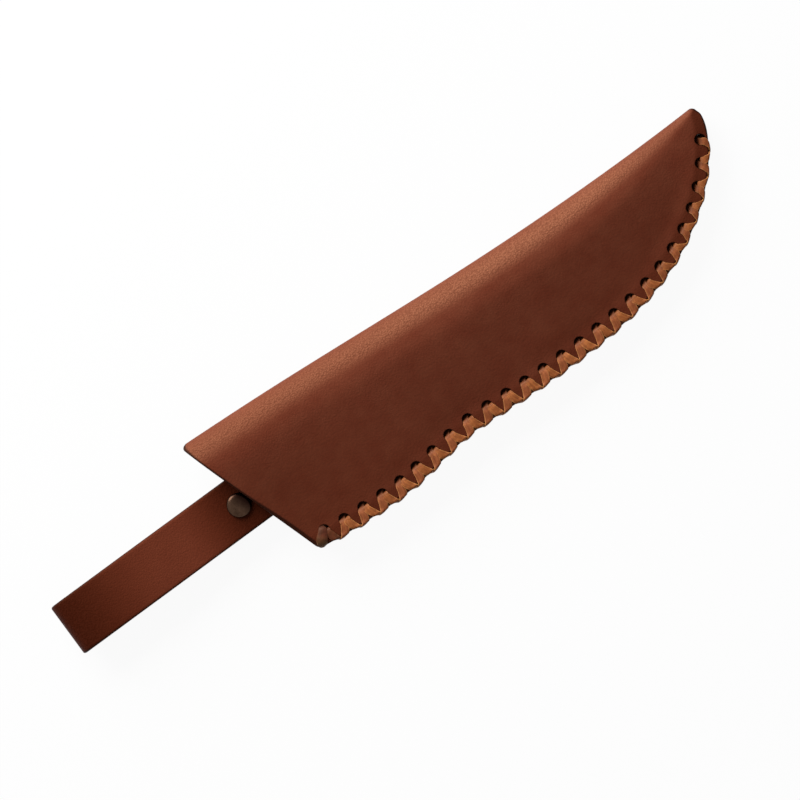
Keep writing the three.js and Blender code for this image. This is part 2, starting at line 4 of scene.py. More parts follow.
import bpy
import numpy as np
from mathutils.kdtree import KDTree
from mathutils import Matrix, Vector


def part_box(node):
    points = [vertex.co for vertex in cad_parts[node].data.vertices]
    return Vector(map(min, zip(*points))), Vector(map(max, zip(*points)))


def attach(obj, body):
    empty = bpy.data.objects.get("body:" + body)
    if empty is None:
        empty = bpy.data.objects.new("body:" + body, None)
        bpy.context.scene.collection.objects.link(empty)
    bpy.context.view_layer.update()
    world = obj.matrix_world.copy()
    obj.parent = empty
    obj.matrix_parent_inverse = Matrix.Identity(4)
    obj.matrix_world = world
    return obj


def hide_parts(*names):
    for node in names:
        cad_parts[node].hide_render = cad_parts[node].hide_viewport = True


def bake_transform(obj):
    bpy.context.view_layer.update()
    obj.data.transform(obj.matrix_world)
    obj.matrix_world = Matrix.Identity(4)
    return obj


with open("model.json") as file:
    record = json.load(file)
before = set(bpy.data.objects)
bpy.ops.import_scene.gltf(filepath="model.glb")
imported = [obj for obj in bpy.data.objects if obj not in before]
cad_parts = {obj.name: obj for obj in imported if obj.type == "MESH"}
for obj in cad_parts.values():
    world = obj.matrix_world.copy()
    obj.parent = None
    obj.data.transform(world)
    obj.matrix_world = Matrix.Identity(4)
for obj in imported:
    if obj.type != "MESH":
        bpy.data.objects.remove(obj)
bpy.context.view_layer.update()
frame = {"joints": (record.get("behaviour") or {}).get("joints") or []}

MM = 0.001

# Outline of the pouch in plan
# Knots give u, v and the outline's direction in degrees.
SPINE_START = -1.5
SPINE_KNOTS = ((-1.5, 0.0, 0.0), (30.0, 0.1, 0.7), (133.0, 2.45, 0.0), (217.9, -0.6, -4.5))
MOUTH_LEAN = math.radians(20.7)
CORNER_WIDTH = 57.8
CORNER_RADIUS = 1.8
HEEL = (40.0, 58.85, 0.0)
HIP = (58.0, 58.4, -4.5)
WAIST = (93.0, 53.15, 0.0)
FLANK = (122.0, 53.15, -2.0)
BELLY = (164.0, 48.85, -13.0)
NOSE = (190.0, 38.7, -31.0)
CHIN = (217.4, 10.4, -65.0)
TIP = (219.2, 3.0, -90.0)
CURVE_STEPS = 400

# Section of the pouch
LEATHER = 2.0
EDGE_HEIGHT = 6.6
POUCH_HEIGHT = 11.0
ROLL_DEPTH = 16.0
ROLL_SHARE = 0.32
ROLL_LEVEL = 0.4
BACK_ROLL = 7.0
TIGHT_BEND = 1.1
PANEL_EASE = 0.3
EDGE_FLAT = 8.5
WELT_FLAT = 11.0
WELT_WIDTH = 10.2
WELT_LOW = 2.06
WELT_HIGH = 4.54
FULL_POUCH_WIDTH = 56.0
FLAT_POUCH_WIDTH = 16.0
TIP_SHARE = 0.3
EDGE_ROUND = 0.7
RIM_ROUND = 0.9
BLUNT_RADIUS = 1.8
BLUNT_REACH = 6.0
SECTION_PASSES = 8
MOUTH_STRETCH = 9.0
TIP_STRETCH = 14.0

# Unevenness of the front panel: waves by height, step along u, step along v and start
PANEL_WAVES = ((0.16, 13.0, 21.0, 0.0), (0.12, 29.0, -11.0, 1.3), (0.07, 7.5, math.inf, 2.0))
WAVES_FROM_HEIGHT = (5.0, 8.0)
WAVES_FROM_EDGE = (4.0, 13.0)
WAVES_FROM_MOUTH = (1.0, 13.0)
WAVES_FROM_WIDTH = (16.0, 36.0)

# Dark lines on the pouch's cut edges; pairs are the places where a look starts and is full
LACED_LINE = 0.15
BARE_LINE = 0.7
BARE_LINE_REACH = 3.0
EDGE_LINE_FADE = 0.5
MOUTH_LINE = 0.4
MOUTH_LINE_SPINE = 0.45
MOUTH_LINE_CORNER = 0.8
MOUTH_LINE_FADE = 0.6
SPINE_STRETCH = (8.0, 1.0)
CORNER_STRETCH = (26.0, 48.0)

# Painted sheen along the spine, in shares of the roll and of the length
SHEEN_RISE = (-0.12, 0.3)
SHEEN_FALL = (0.75, 0.34)
SHEEN_END = (0.75, 1.0)
SHEEN_NARROWS = 0.75
SHEEN_AT_TIP = 0.3
SHEEN_AT_MOUTH = 0.7
SHEEN_FROM_MOUTH = (40.0, 140.0)

# Darker places of the front panel
BAND_TONE = 0.14
BAND_REACH = (9.0, 3.0)
CORNER_TONE = 0.14
CORNER_ALONG = (70.0, 10.0)
CORNER_ACROSS = (8.0, 48.0)
# Painted shade of the lace on the leather beside it, deeper towards the tip
LACED_SHADE = 0.25
LACED_TIP_SHADE = 0.4
LACED_SHADE_REACH = (6.5, 4.0)
MOUTH_TONE = 0.05
MOUTH_REACH = (110.0, 30.0)

# Cut faces of the welt
WELT_BACK = 0.15
WELT_ROUND = 0.5
WELT_STAIN = (1.1, 0.3)
WELT_FLESH = 0.6

# Lace holes
HOLE_RADIUS = 2.0
HOLE_INSET = 5.0
TIP_HOLE_INSET = 3.0
TAPER_FROM = 0.6
TAPER_TO = 0.92
LACE_PITCH = 8.25
LACE_FROM_MOUTH = 6.13
LACE_TO_TIP = 9.6
HOLE_DRIFT = 1.4
DRIFT_RISE = (4, 17)
DRIFT_END = 2
HOLE_NEAR = 4.0
HOLE_DISH = 0.2
HOLE_DISH_REACH = 3.0
HOLE_SIDES = 40
PUNCH_SPARE = 3.0

# Lace, drawn tight; what lies over another pass is lifted, and the rises are shares of that lift
LACE_HALF = 1.55
LACE_THICK = 0.24
LACE_SINK = 0.05
LACE_STEP = 0.26
LACE_DROOP = 0.06
LACE_HANG = 0.3
LACE_BOW = 0.1
LACE_WRAP = 0.25
LEG_SPREAD = 1.45
LEG_CURVE = 1.35
EDGE_TILT = 0.22
TURN_TUCK = 0.12
TURN_DROP = 0.25
TURN_RISE = 0.4
TURN_SHARE = 0.14
FOOT_TUCK = 0.35
FOOT_LEAN = 0.12
FOOT_RISE = 0.45
BACK_FOOT_RISE = 0.6
LEG_PLACES = ((0.4, 0.3), (0.75, 0.8))
LEG_RISE = 0.3
LEG_DROOP = 0.5
BACK_LEG_RISE = 0.35
BACK_LEG_WIDTH = 0.95
BACK_LEG_DROOP = 0.04
BACK_LEG_SKEW = 0.5
SKEW_WIDENS = 1.08
# Shade of each ring of a stitch, from one hole to the next
LEG_SHADES = (0, 0, -0.1, 0.3, -0.15, -0.45, -0.7, -0.6, -0.5, -0.5, -0.4, -0.2, 0, 0, 0)
TIP_SHADE = 0.5
TIP_NARROW = 0.22
TIP_SPREAD = 0.82
TIP_CREST = 0.3
LEG_OUT = 1.3
LEG_SIDE = 0.95
LEG_NECK = 1.45
NECK_NARROWS = 0.4
NECK_SWELL = 0.05
NECK_SINK = 0.06
NECK_LEAN = 0.2
TIP_LIFT = 0.4

# Differences between stitches made by hand
HAND_SLIP = 0.25
HAND_WIDTHS = (0.95, 1.06)
HAND_TILT = 0.1
HAND_SHADE = 0.12

# Lace in its holes: the strand in the middle, the throat above it and the lip
STRAND_HALF = 2.2
STRAND_THICK = 1.1
STRAND_OFFSET = 0.9
THROAT_HALF = 1.15
THROAT_THICK = 0.7
THROAT_DEPTH = 1.2
THROAT_ALONG = 0.5
THROAT_SHARE = 0.7
LIP_HALF = 1.2
LIP_SWELL = 0.14
LIP_DEPTH = 0.2
LIP_ALONG = 0.9
LIP_OUT = 0.45
LIP_LEAN = 0.9
# Painted shade on the lace's lip at each hole
LIP_SHADE = 0.45
TIP_TURN_BACK = 0.3

# Burnt drop at the lace's end: along, out, rise, half width, half thickness and steepness of its rings
DROP_RINGS = (
    (-0.2, -1.2, -0.6, 1.2, 0.35, 0.0),
    (-0.5, -0.3, -0.1, 1.55, 0.45, 0.1),
    (-0.9, 0.5, 0.05, 1.75, 0.55, 0.2),
    (-1.4, 1.2, 0.2, 1.85, 0.75, 0.2),
    (-1.95, 1.9, 0.4, 1.95, 1.0, 0.25),
    (-2.45, 2.7, 0.45, 2.0, 1.2, 0.4),
    (-2.85, 3.5, 0.1, 1.95, 1.15, 0.7),
    (-3.1, 4.2, -0.7, 1.5, 1.0, 1.1),
    (-3.2, 4.6, -1.5, 0.9, 0.7, 1.4),
    (-3.25, 4.7, -2.1, 0.35, 0.3, 1.6),
)
DROP_DROOP = 0.35
DROP_BURNT = 0.5
DROP_AMBER = (5, 8)
START_BURNT = 0.4
START_RINGS = 9

# Strap: s runs outward from the snap
STRAP_WIDTH = 20.5
STRAP_LEATHER = 2.0
STRAP_REACH = 76.5
STRAP_ROUND = 0.75
STRAP_CORNER = 5.0
TONGUE_LENGTH = 34.0
FLAP_TAIL = 9.0
RISE_FROM = 9.0
RISE_TO = 50.0
FOLD_RADIUS = 5.0
TONGUE_LEVEL = 3.3
LEG_LEVEL = 5.6
FLAP_LEVEL = -2.7
# Painted shade on the strap: under the front panel where it goes into the mouth, and where it turns away
# from the light towards its fold
STRAP_MOUTH_SHADE = 0.27
STRAP_MOUTH_SHADE_REACH = (-1.0, 25.0)
STRAP_FOLD_SHADE = 0.26
STRAP_FOLD_SHADE_REACH = (32.0, 76.0)
STRAP_STAIN = 0.8
STRAP_STAIN_REACH = (0.72, 0.12)

# Snap and rivets
SNAP_DEPTH = 28.9
CAP_RADIUS = 4.5
CAP_SEAT = 4.28
CAP_TOP = 6.2
RIVET_PLACES = (-16.0, -28.0)
RIVET_RADIUS = 3.5
ROUND_SIDES = 72
SNAP_ROUND = 0.15
HEAD_ROUND = 0.2
RIVET_ROUND = 0.25
# Painted dark reflection of the pouch on the metal, on the side towards the mouth
REFLECTION_TURN = 0.35
REFLECTION_FROM = -0.25
REFLECTION_TO = 0.55

# Where the pouch and the strap lie in the frame
body_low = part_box("sheath_body")[0]
cap_low, cap_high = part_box("snap_cap")
hinge = np.array(frame["joints"][0]["pos_m"]) / MM
SNAP = np.array([(cap_low.x + cap_high.x) / 2, (cap_low.y + cap_high.y) / 2, body_low.z]) / MM
POUCH_ORIGIN = np.array([body_low.x / MM - SPINE_START, SNAP[1] + SNAP_DEPTH, body_low.z / MM])
STRAP_OUT = np.array([hinge[0] - SNAP[0], hinge[1] - SNAP[1], 0]) / STRAP_REACH
STRAP_ACROSS = np.array([-STRAP_OUT[1], STRAP_OUT[0], 0])
UP = np.array([0.0, 0.0, 1.0])


def lerp(a, b, p):
    return a + (b - a) * p


def smooth(p):
    p = np.clip(p, 0, 1)
    return p * p * (3 - 2 * p)


def ramp(value, start, full):
    """0 up to start, 1 past full and smooth between them; full may lie on either side of start."""
    return smooth((value - start) / (full - start))


def unit(v):
    return v / np.linalg.norm(v, axis=-1, keepdims=True)


def heading(angle):
    return np.array([math.cos(math.radians(angle)), math.sin(math.radians(angle))])


# Laced edge and spine in plan, as points along their lengths


def edge_knots():
    mouth = np.array([math.sin(MOUTH_LEAN), math.cos(MOUTH_LEAN)])
    corner = np.array([SPINE_START + CORNER_WIDTH * math.tan(MOUTH_LEAN), CORNER_WIDTH])
    rise = unit(np.array(HEEL[:2]) - corner)
    knots = [(corner - CORNER_RADIUS * mouth, mouth), (corner + CORNER_RADIUS * rise, rise)]
    return knots + plain_knots((HEEL, HIP, WAIST, FLANK, BELLY, NOSE, CHIN, TIP))


def plain_knots(rows):
    return [(np.array([u, v]), heading(angle)) for u, v, angle in rows]


def curve_points(knots):
    t = np.linspace(0, 1, CURVE_STEPS)[:, None]
    points = [knots[0][0][None]]
    for (a, leave), (b, arrive) in zip(knots, knots[1:]):
        handle = np.linalg.norm(b - a) / 3
        near = a + handle * leave
        far = b - handle * arrive
        curve = (1 - t) ** 3 * a + 3 * (1 - t) ** 2 * t * near + 3 * (1 - t) * t * t * far + t**3 * b
        points.append(curve[1:])
    return np.concatenate(points)


def arc_lengths(points):
    return np.concatenate([[0], np.cumsum(np.linalg.norm(np.diff(points, axis=0), axis=1))])


EDGE = curve_points(edge_knots())
EDGE_ARC = arc_lengths(EDGE)
EDGE_LENGTH = EDGE_ARC[-1]
SPINE = curve_points(plain_knots(SPINE_KNOTS))
SPINE_ARC = arc_lengths(SPINE)


def along_curve(length, arc, points):
    return np.array([np.interp(length, arc, points[:, 0]), np.interp(length, arc, points[:, 1])])


def edge_at(length):
    return along_curve(length, EDGE_ARC, EDGE)


def spine_at(share):
    length = share * SPINE_ARC[-1]
    return along_curve(length, SPINE_ARC, SPINE)


class EdgeFrame:
    """A place on the laced edge: points are given by distances along it, out from it and up."""

    def __init__(self, length, inset=0.0):
        length = float(np.clip(length, 0, EDGE_LENGTH))
        step = 0.05
        ahead = edge_at(min(length + step, EDGE_LENGTH)) - edge_at(max(length - step, 0))
        ahead = unit(ahead)
        at = edge_at(length)
        self.length = length
        self.inset = inset
        self.along = np.array([ahead[0], -ahead[1], 0])
        self.out = np.array([-ahead[1], -ahead[0], 0])
        self.origin = np.array([at[0], -at[1], 0]) - inset * self.out

    def at(self, along, out, z):
        return self.origin + along * self.along + out * self.out + z * UP


LACED_LENGTH = EDGE_LENGTH - LACE_FROM_MOUTH - LACE_TO_TIP
STITCHES = round(LACED_LENGTH / LACE_PITCH)
STITCH_STEP = LACED_LENGTH / STITCHES


def tip_share(k):
    """How far a hole belongs to the narrow stretch at the tip, from 0 to 1."""
    return ramp(k / STITCHES, TAPER_FROM, TAPER_TO)


def hole_drift(k):
    """How far hand punching set a hole back from even spacing."""
    return HOLE_DRIFT * ramp(k, *DRIFT_RISE) * ramp(k, STITCHES, STITCHES - DRIFT_END)


def hole_frame(k):
    inset = lerp(HOLE_INSET, TIP_HOLE_INSET, tip_share(k))
    return EdgeFrame(LACE_FROM_MOUTH + k * STITCH_STEP - hole_drift(k), inset)


HOLES = [hole_frame(k) for k in range(STITCHES + 1)]
HOLE_PLACES = np.array([hole.origin[:2] for hole in HOLES])


# Mesh making


def ring_faces(rows, count):
    """Quads between rings of points, closed round each ring."""
    j = np.arange(count)
    k = (j + 1) % count
    base = np.arange(rows - 1)[:, None] * count
    return np.stack([base + j, base + k, base + count + k, base + count + j], axis=-1).reshape(-1, 4)


def tube_faces(rows, count):
    """Quads between rings of points, and a flat face over each end."""
    faces = [list(face) for face in ring_faces(rows, count)]
    last = (rows - 1) * count
    faces.append(list(range(count))[::-1])
    faces.append([last + j for j in range(count)])
    return faces


def signed_volume(points, faces):
    """Six times the volume, below 0 where the faces look inward."""
    total = 0.0
    for size in {len(face) for face in faces}:
        group = np.array([face for face in faces if len(face) == size])
        for j in range(1, size - 1):
            a, b, c = points[group[:, 0]], points[group[:, j]], points[group[:, j + 1]]
            total += np.sum(a * np.cross(b, c))
    return total


def make_mesh(name, points, faces, values=None):
    """Closed mesh from points in millimetres; values are numbers kept at each point."""
    faces = [list(map(int, face)) for face in faces]
    if signed_volume(points, faces) < 0:
        faces = [face[::-1] for face in faces]
    mesh = bpy.data.meshes.new(name)
    mesh.from_pydata((points * MM).tolist(), [], faces)
    keep_values(mesh, values or {})
    mesh.validate()
    mesh.update()
    return mesh


def keep_values(mesh, values):
    for key, numbers in values.items():
        made = mesh.attributes.get(key) or mesh.attributes.new(key, "FLOAT", "POINT")
        made.data.foreach_set("value", np.asarray(numbers, np.float32))


def linked(name, data):
    made = bpy.data.objects.new(name, data)
    bpy.context.scene.collection.objects.link(made)
    return made


def put(name, mesh, material, nodes, body=None, sharp=40):
    """Object from a mesh, standing for CAD nodes and riding on a body."""
    mesh.materials.clear()
    mesh.materials.append(material)
    mesh.shade_smooth()
    mesh.set_sharp_from_angle(angle=math.radians(sharp))
    made = linked(name, mesh)
    if body:
        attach(made, body)
    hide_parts(*nodes)
    return made


def punched(mesh, values):
    """The mesh with the lace holes cut out of it, and its values carried over by nearest point."""
    old = np.zeros(len(mesh.vertices) * 3)
    mesh.vertices.foreach_get("co", old)
    old = old.reshape(-1, 3)
    body = linked("blank", mesh)
    tool = linked("punch", hole_cutter())
    change = body.modifiers.new("holes", "BOOLEAN")
    change.operation = "DIFFERENCE"
    change.solver = "EXACT"
    change.object = tool
    bpy.context.view_layer.update()
    done = body.evaluated_get(bpy.context.evaluated_depsgraph_get())
    result = bpy.data.meshes.new_from_object(done)
    for made in (body, tool):
        bpy.data.objects.remove(made)
    tree = KDTree(len(old))
    for i, point in enumerate(old):
        tree.insert(point, i)
    tree.balance()
    nearest = np.array([tree.find(v.co)[1] for v in result.vertices])
    for key in values:
        values[key] = np.asarray(values[key])[nearest]
    plan = np.array([v.co[:2] for v in result.vertices]) / MM - POUCH_ORIGIN[:2]
    values["hole"] = np.maximum(HOLE_NEAR - hole_distance(plan), 0)
    keep_values(result, values)
    return result


def hole_distance(plan):
    return np.min(np.linalg.norm(plan[:, None, :] - HOLE_PLACES[None], axis=2), axis=1)


def hole_cutter():
    """All the round punches as one mesh."""
    turn = np.linspace(0, 2 * np.pi, HOLE_SIDES, endpoint=False)
    points = []
    faces = []
    for hole in HOLES:
        first = len(points)
        for z in (-PUNCH_SPARE, EDGE_HEIGHT + PUNCH_SPARE):
            for angle in turn:
                points.append(hole.at(HOLE_RADIUS * math.cos(angle), HOLE_RADIUS * math.sin(angle), z))
        for face in tube_faces(2, HOLE_SIDES):
            faces.append([first + j for j in face])
    return make_mesh("holes", np.array(points) + POUCH_ORIGIN, faces)


# Pouch: one folded blank with rounded, burnished edges


def flat_band(width):
    return min(WELT_FLAT, TIP_SHARE * width)


def front_roll(width):
    return min(ROLL_DEPTH, ROLL_SHARE * width)


def outer_section(width):
    """[w, z] from the back panel's edge, round the spine, to the front panel's edge."""
    flat = min(EDGE_FLAT, TIP_SHARE * width)
    swell = smooth((width - FLAT_POUCH_WIDTH) / (FULL_POUCH_WIDTH - FLAT_POUCH_WIDTH))
    height = EDGE_HEIGHT + (POUCH_HEIGHT - EDGE_HEIGHT) * swell
    level = ROLL_LEVEL * height
    roll = front_roll(width)
    back_roll = min(BACK_ROLL, level**2 / (TIGHT_BEND * LEATHER), roll)
    rim = width - EDGE_ROUND
    back = np.linspace(rim, back_roll, 52)[:-1]
    turn = np.linspace(0, np.pi / 2, 21)
    p = np.linspace(0, 1, 45)[1:]
    fall = lerp(p, smooth(p), PANEL_EASE)
    band = np.linspace(width - flat, rim, 16)[1:]
    w = np.concatenate([
        back, back_roll * (1 - np.sin(turn)), roll * (1 - np.cos(turn[1:])),
        lerp(roll, width - flat, p), band,
    ])
    z = np.concatenate([
        0 * back, level * (1 - np.cos(turn)), lerp(level, height, np.sin(turn[1:])),
        lerp(height, EDGE_HEIGHT, fall), 0 * band + EDGE_HEIGHT,
    ])
    for _ in range(SECTION_PASSES):
        w[1:-1] = (w[:-2] + 2 * w[1:-1] + w[2:]) / 4
        z[1:-1] = (z[:-2] + 2 * z[1:-1] + z[2:]) / 4
    return w, z


def pouch_ring(width, fullness):
    """Closed ring of the section: outer face, front edge, inner face and back edge."""
    w, z = outer_section(width)
    dw = np.gradient(w)
    dz = np.gradient(z)
    length = np.hypot(dw, dz)
    w_in = w + LEATHER * dz / length
    z_in = z - LEATHER * dw / length
    arc = np.radians([60, 30, 0, -30, -60])
    rim = width - EDGE_ROUND
    front_w = rim + EDGE_ROUND * np.cos(arc)
    front_z = EDGE_HEIGHT - LEATHER / 2 + LEATHER / 2 * np.sin(arc)
    back_z = LEATHER / 2 + LEATHER / 2 * np.sin(arc)
    ring_w = np.concatenate([w, front_w, w_in[::-1], front_w])
    ring_z = np.concatenate([z, front_z, z_in[::-1], back_z])
    count = len(w)
    arcs = len(arc)
    total = len(ring_w)
    pair = np.concatenate([
        np.arange(2 * count + arcs - 1, count + arcs - 1, -1),
        np.arange(count + arcs - 1, count - 1, -1),
        np.arange(count - 1, -1, -1),
        np.arange(total - 1, total - 1 - arcs, -1),
    ])
    mid_w = (ring_w + ring_w[pair]) / 2
    mid_z = (ring_z + ring_z[pair]) / 2
    ring_w = mid_w + fullness * (ring_w - mid_w)
    ring_z = mid_z + fullness * (ring_z - mid_z)
    inner = np.zeros(total)
    inner[count + arcs:2 * count + arcs] = 1
    return ring_w, ring_z, inner, count, arcs


def round_end(reach, steps=6):
    """Distances from an edge and the share of the thickness there, for a rounded edge."""
    first_angle = 12
    angle = np.radians(np.linspace(first_angle, 90, steps))
    return reach * (1 - np.cos(angle)), np.sin(angle)


def pouch_stations():
    """Lengths along the edge where the pouch has a ring, and the share of the thickness there."""
    near, share = round_end(RIM_ROUND)
    middle = np.concatenate([
        np.linspace(near[-1], MOUTH_STRETCH, 22)[1:],
        np.linspace(MOUTH_STRETCH, EDGE_LENGTH - TIP_STRETCH, 220)[1:],
        np.linspace(EDGE_LENGTH - TIP_STRETCH, EDGE_LENGTH - near[-1], 26)[1:-1],
    ])
    lengths = np.concatenate([near, middle, (EDGE_LENGTH - near)[::-1]])
    fullness = np.concatenate([share, np.ones(len(middle)), share[::-1]])
    return lengths, fullness


def panel_waves(plan, w, z, width, length):
    """Slow unevenness of the front panel, gone at its edges."""
    total = 0.0
    for height, along, across, start in PANEL_WAVES:
        total = total + height * np.sin(plan[:, 0] / along + plan[:, 1] / across + start)
    inside = ramp(z, *WAVES_FROM_HEIGHT) * ramp(width - w, *WAVES_FROM_EDGE)
    return total * inside * ramp(length, *WAVES_FROM_MOUTH) * ramp(width, *WAVES_FROM_WIDTH)


def blunt_corner(w, length):
    """How far the mouth's corner at the spine is rounded back along the spine."""
    angle = math.pi / 2 - MOUTH_LEAN
    touch = BLUNT_RADIUS / math.tan(angle / 2)
    inside = np.clip(w, 0, touch * math.cos(MOUTH_LEAN))
    bow = np.sqrt(np.maximum(BLUNT_RADIUS**2 - (inside - BLUNT_RADIUS) ** 2, 0))
    return (touch - bow - inside * math.tan(MOUTH_LEAN)) * (1 - smooth(length / BLUNT_REACH))


def edge_stain(plan, w, width, length):
    """Dark line on the cut edges: narrow under the lace, wider at the tip and at the mouth."""
    to_edge = np.minimum(width - w, EDGE_LENGTH - length)
    bare = ramp(EDGE_LENGTH - length, LACE_TO_TIP, LACE_TO_TIP - BARE_LINE_REACH)
    edge_line = lerp(LACED_LINE, BARE_LINE, bare)
    to_mouth = (plan[:, 0] - SPINE_START) * math.cos(MOUTH_LEAN) - plan[:, 1] * math.sin(MOUTH_LEAN)
    mouth_line = MOUTH_LINE + MOUTH_LINE_SPINE * ramp(w, *SPINE_STRETCH)
    mouth_line = mouth_line + MOUTH_LINE_CORNER * ramp(w, *CORNER_STRETCH)
    off_edge = ramp(to_edge, edge_line, edge_line + EDGE_LINE_FADE)
    off_mouth = ramp(to_mouth, mouth_line, mouth_line + MOUTH_LINE_FADE)
    return 1 - np.minimum(off_edge, off_mouth)


def spine_sheen(w, z, width, length):
    """Painted sheen where the leather bends round the spine, fading towards both ends: the light's
    highlight on the roll, with paler stretched leather.
    """
    turn = w / np.where(z > EDGE_HEIGHT / 2, front_roll(width), BACK_ROLL)
    near_end = ramp(length / EDGE_LENGTH, *SHEEN_END)
    turn = turn * lerp(1, SHEEN_NARROWS, near_end)
    roll = ramp(turn, *SHEEN_RISE) * ramp(turn, *SHEEN_FALL)
    from_mouth = lerp(SHEEN_AT_MOUTH, 1, ramp(length, *SHEEN_FROM_MOUTH))
    return roll * from_mouth * lerp(1, SHEEN_AT_TIP, near_end)


def panel_tone_and_shade(w, width, length):
    """Share of the colour left: less in the flat band, at the corner and at the mouth, and beside the
    lace, where it is painted shade.
    """
    inner = width - flat_band(width)
    before, past = BAND_REACH
    band = BAND_TONE * ramp(w, inner - before, inner + past)
    corner = CORNER_TONE * ramp(length, *CORNER_ALONG) * ramp(w, *CORNER_ACROSS)
    near_tip = ramp(length / EDGE_LENGTH, TAPER_FROM, TAPER_TO)
    lace_shade = lerp(LACED_SHADE, LACED_TIP_SHADE, near_tip) * ramp(width - w, *LACED_SHADE_REACH)
    mouth = MOUTH_TONE * ramp(length, *MOUTH_REACH)
    return (1 - band) * (1 - corner) * (1 - lace_shade) * (1 - mouth)


def pouch_faces(rows, count, arcs):
    """Faces between the rings, and strips over the two open ends of the folded blank."""
    total = 2 * count + 2 * arcs
    faces = [list(face) for face in ring_faces(rows, total)]
    last = (rows - 1) * total
    strips = []
    for j in range(count - 1):
        far = 2 * count + arcs - 1 - j
        strips.append([j, j + 1, far - 1, far])
    for first, back in ((count - 1, count + arcs), (2 * count + arcs - 1, 0)):
        strips.append([first] + [first + 1 + k for k in range(arcs)] + [back])
    for strip in strips:
        faces.append(strip[::-1])
        faces.append([last + j for j in strip])
    return faces


def pouch_blank():
    """Folded blank before it is punched, and the values that its leather's looks use."""
    lengths, fullness = pouch_stations()
    points = []
    edge = []
    flesh = []
    bend_sheen = []
    tone_and_shade = []
    for length, full in zip(lengths, fullness):
        spine = spine_at(length / EDGE_LENGTH)
        rim = edge_at(length)
        width = np.linalg.norm(rim - spine)
        w, z, inner, count, arcs = pouch_ring(width, full)
        plan = spine + (rim - spine) * (w / width)[:, None]
        edge.append(edge_stain(plan, w, width, length))
        plan[:, 0] += blunt_corner(w, length)
        z = z + panel_waves(plan, w, z, width, length)
        points.append(np.stack([plan[:, 0], -plan[:, 1], z], axis=1))
        flesh.append(inner)
        bend_sheen.append(spine_sheen(w, z, width, length) * (1 - inner))
        tone_and_shade.append(panel_tone_and_shade(w, width, length))
    points = np.concatenate(points)
    flesh = np.concatenate(flesh)
    away = hole_distance(points[:, :2])
    dish = HOLE_DISH * np.exp(-((away / HOLE_DISH_REACH) ** 2)) * (1 - flesh)
    points[:, 2] -= dish * np.where(points[:, 2] > EDGE_HEIGHT / 2, 1, -1)
    faces = pouch_faces(len(lengths), count, arcs)
    values = {"edge": np.concatenate(edge), "flesh": flesh, "bend_sheen": np.concatenate(bend_sheen)}
    values["tone_and_shade"] = np.concatenate(tone_and_shade)
    return make_mesh("sheath_leather", points + POUCH_ORIGIN, faces, values), values


def welt_blank():
    """Strip between the panels along the laced edge, before it is punched."""
    lengths, fullness = pouch_stations()
    middle = (WELT_LOW + WELT_HIGH) / 2
    half = (WELT_HIGH - WELT_LOW) / 2
    arc = np.radians(np.linspace(90, -90, 9))
    points = []
    edge = []
    for length, full in zip(lengths, fullness):
        spine = spine_at(length / EDGE_LENGTH)
        rim = edge_at(length)
        width = np.linalg.norm(rim - spine)
        inner = width - flat_band(width) * (WELT_WIDTH / WELT_FLAT)
        turn = width - WELT_BACK - WELT_ROUND
        top = np.linspace(inner, turn, 14)
        w = np.concatenate([top, turn + WELT_ROUND * np.cos(arc[1:-1]), top[::-1]])
        z = np.concatenate([0 * top + half, half * np.sin(arc[1:-1]), 0 * top - half])
        plan = spine + (rim - spine) * (w / width)[:, None]
        points.append(np.stack([plan[:, 0], -plan[:, 1], middle + full * z], axis=1))
        edge.append(ramp(width - w, *WELT_STAIN))
    faces = tube_faces(len(lengths), len(w))
    edge = np.concatenate(edge)
    values = {"edge": edge, "flesh": 0 * edge + WELT_FLESH, "bend_sheen": 0 * edge, "tone_and_shade": 0 * edge + 1}
    return make_mesh("welt_leather", np.concatenate(points) + POUCH_ORIGIN, faces, values), values


# Lace: one flat ribbon, out to the tip and back, lying over itself at the edge

FRONT_LEVEL = EDGE_HEIGHT - LACE_SINK + LACE_THICK
BACK_LEVEL = LACE_SINK - LACE_THICK
PASS_LIFT = 1.5 * LACE_THICK
CREST_REACH = LACE_THICK - LACE_SINK
# Columns of a ring, after its place and facing
HALF, THICK, DROOP, IN_HOLE_SHADE, BURNT, HOME, SHADE, SKEW = range(6, 14)
EDGEWISE = slice(14, 17)
draw = np.random.default_rng(11)


def ring(point, normal, half, thick, droop, hole_shade, edge, skew=0.0):
    """Place, facing, half width, half thickness, how far the sides hang, the painted shade inside a hole,
    and how far its cross-section turns to lie along the edge."""
    normal = unit(normal)
    side = edge.along - (edge.along @ normal) * normal
    return np.concatenate([point, normal, [half, thick, droop, hole_shade, 0, 0, 0, skew], side])


def strand_rings(hole, toward, face):
    """In a hole: its middle, a place nearer the face (1 front, -1 back), and the lip."""
    inward = -hole.out
    side = toward * STRAND_OFFSET
    along = face * toward
    half_height = EDGE_HEIGHT / 2
    throat_z = half_height + face * (half_height - THROAT_DEPTH)
    lip_z = half_height + face * (half_height - LIP_DEPTH)
    middle = hole.at(0, side, half_height)
    throat = hole.at(THROAT_ALONG * along, lerp(side, LIP_OUT, THROAT_SHARE), throat_z)
    lip = hole.at(LIP_ALONG * along, LIP_OUT, lip_z)
    return [
        ring(middle, inward, STRAND_HALF, STRAND_THICK, 0, 1, hole),
        ring(throat, inward, THROAT_HALF, THROAT_THICK, 0, 1, hole),
        ring(lip, face * UP + LIP_LEAN * inward, LIP_HALF, LACE_THICK + LIP_SWELL, 0, LIP_SHADE, hole),
    ]


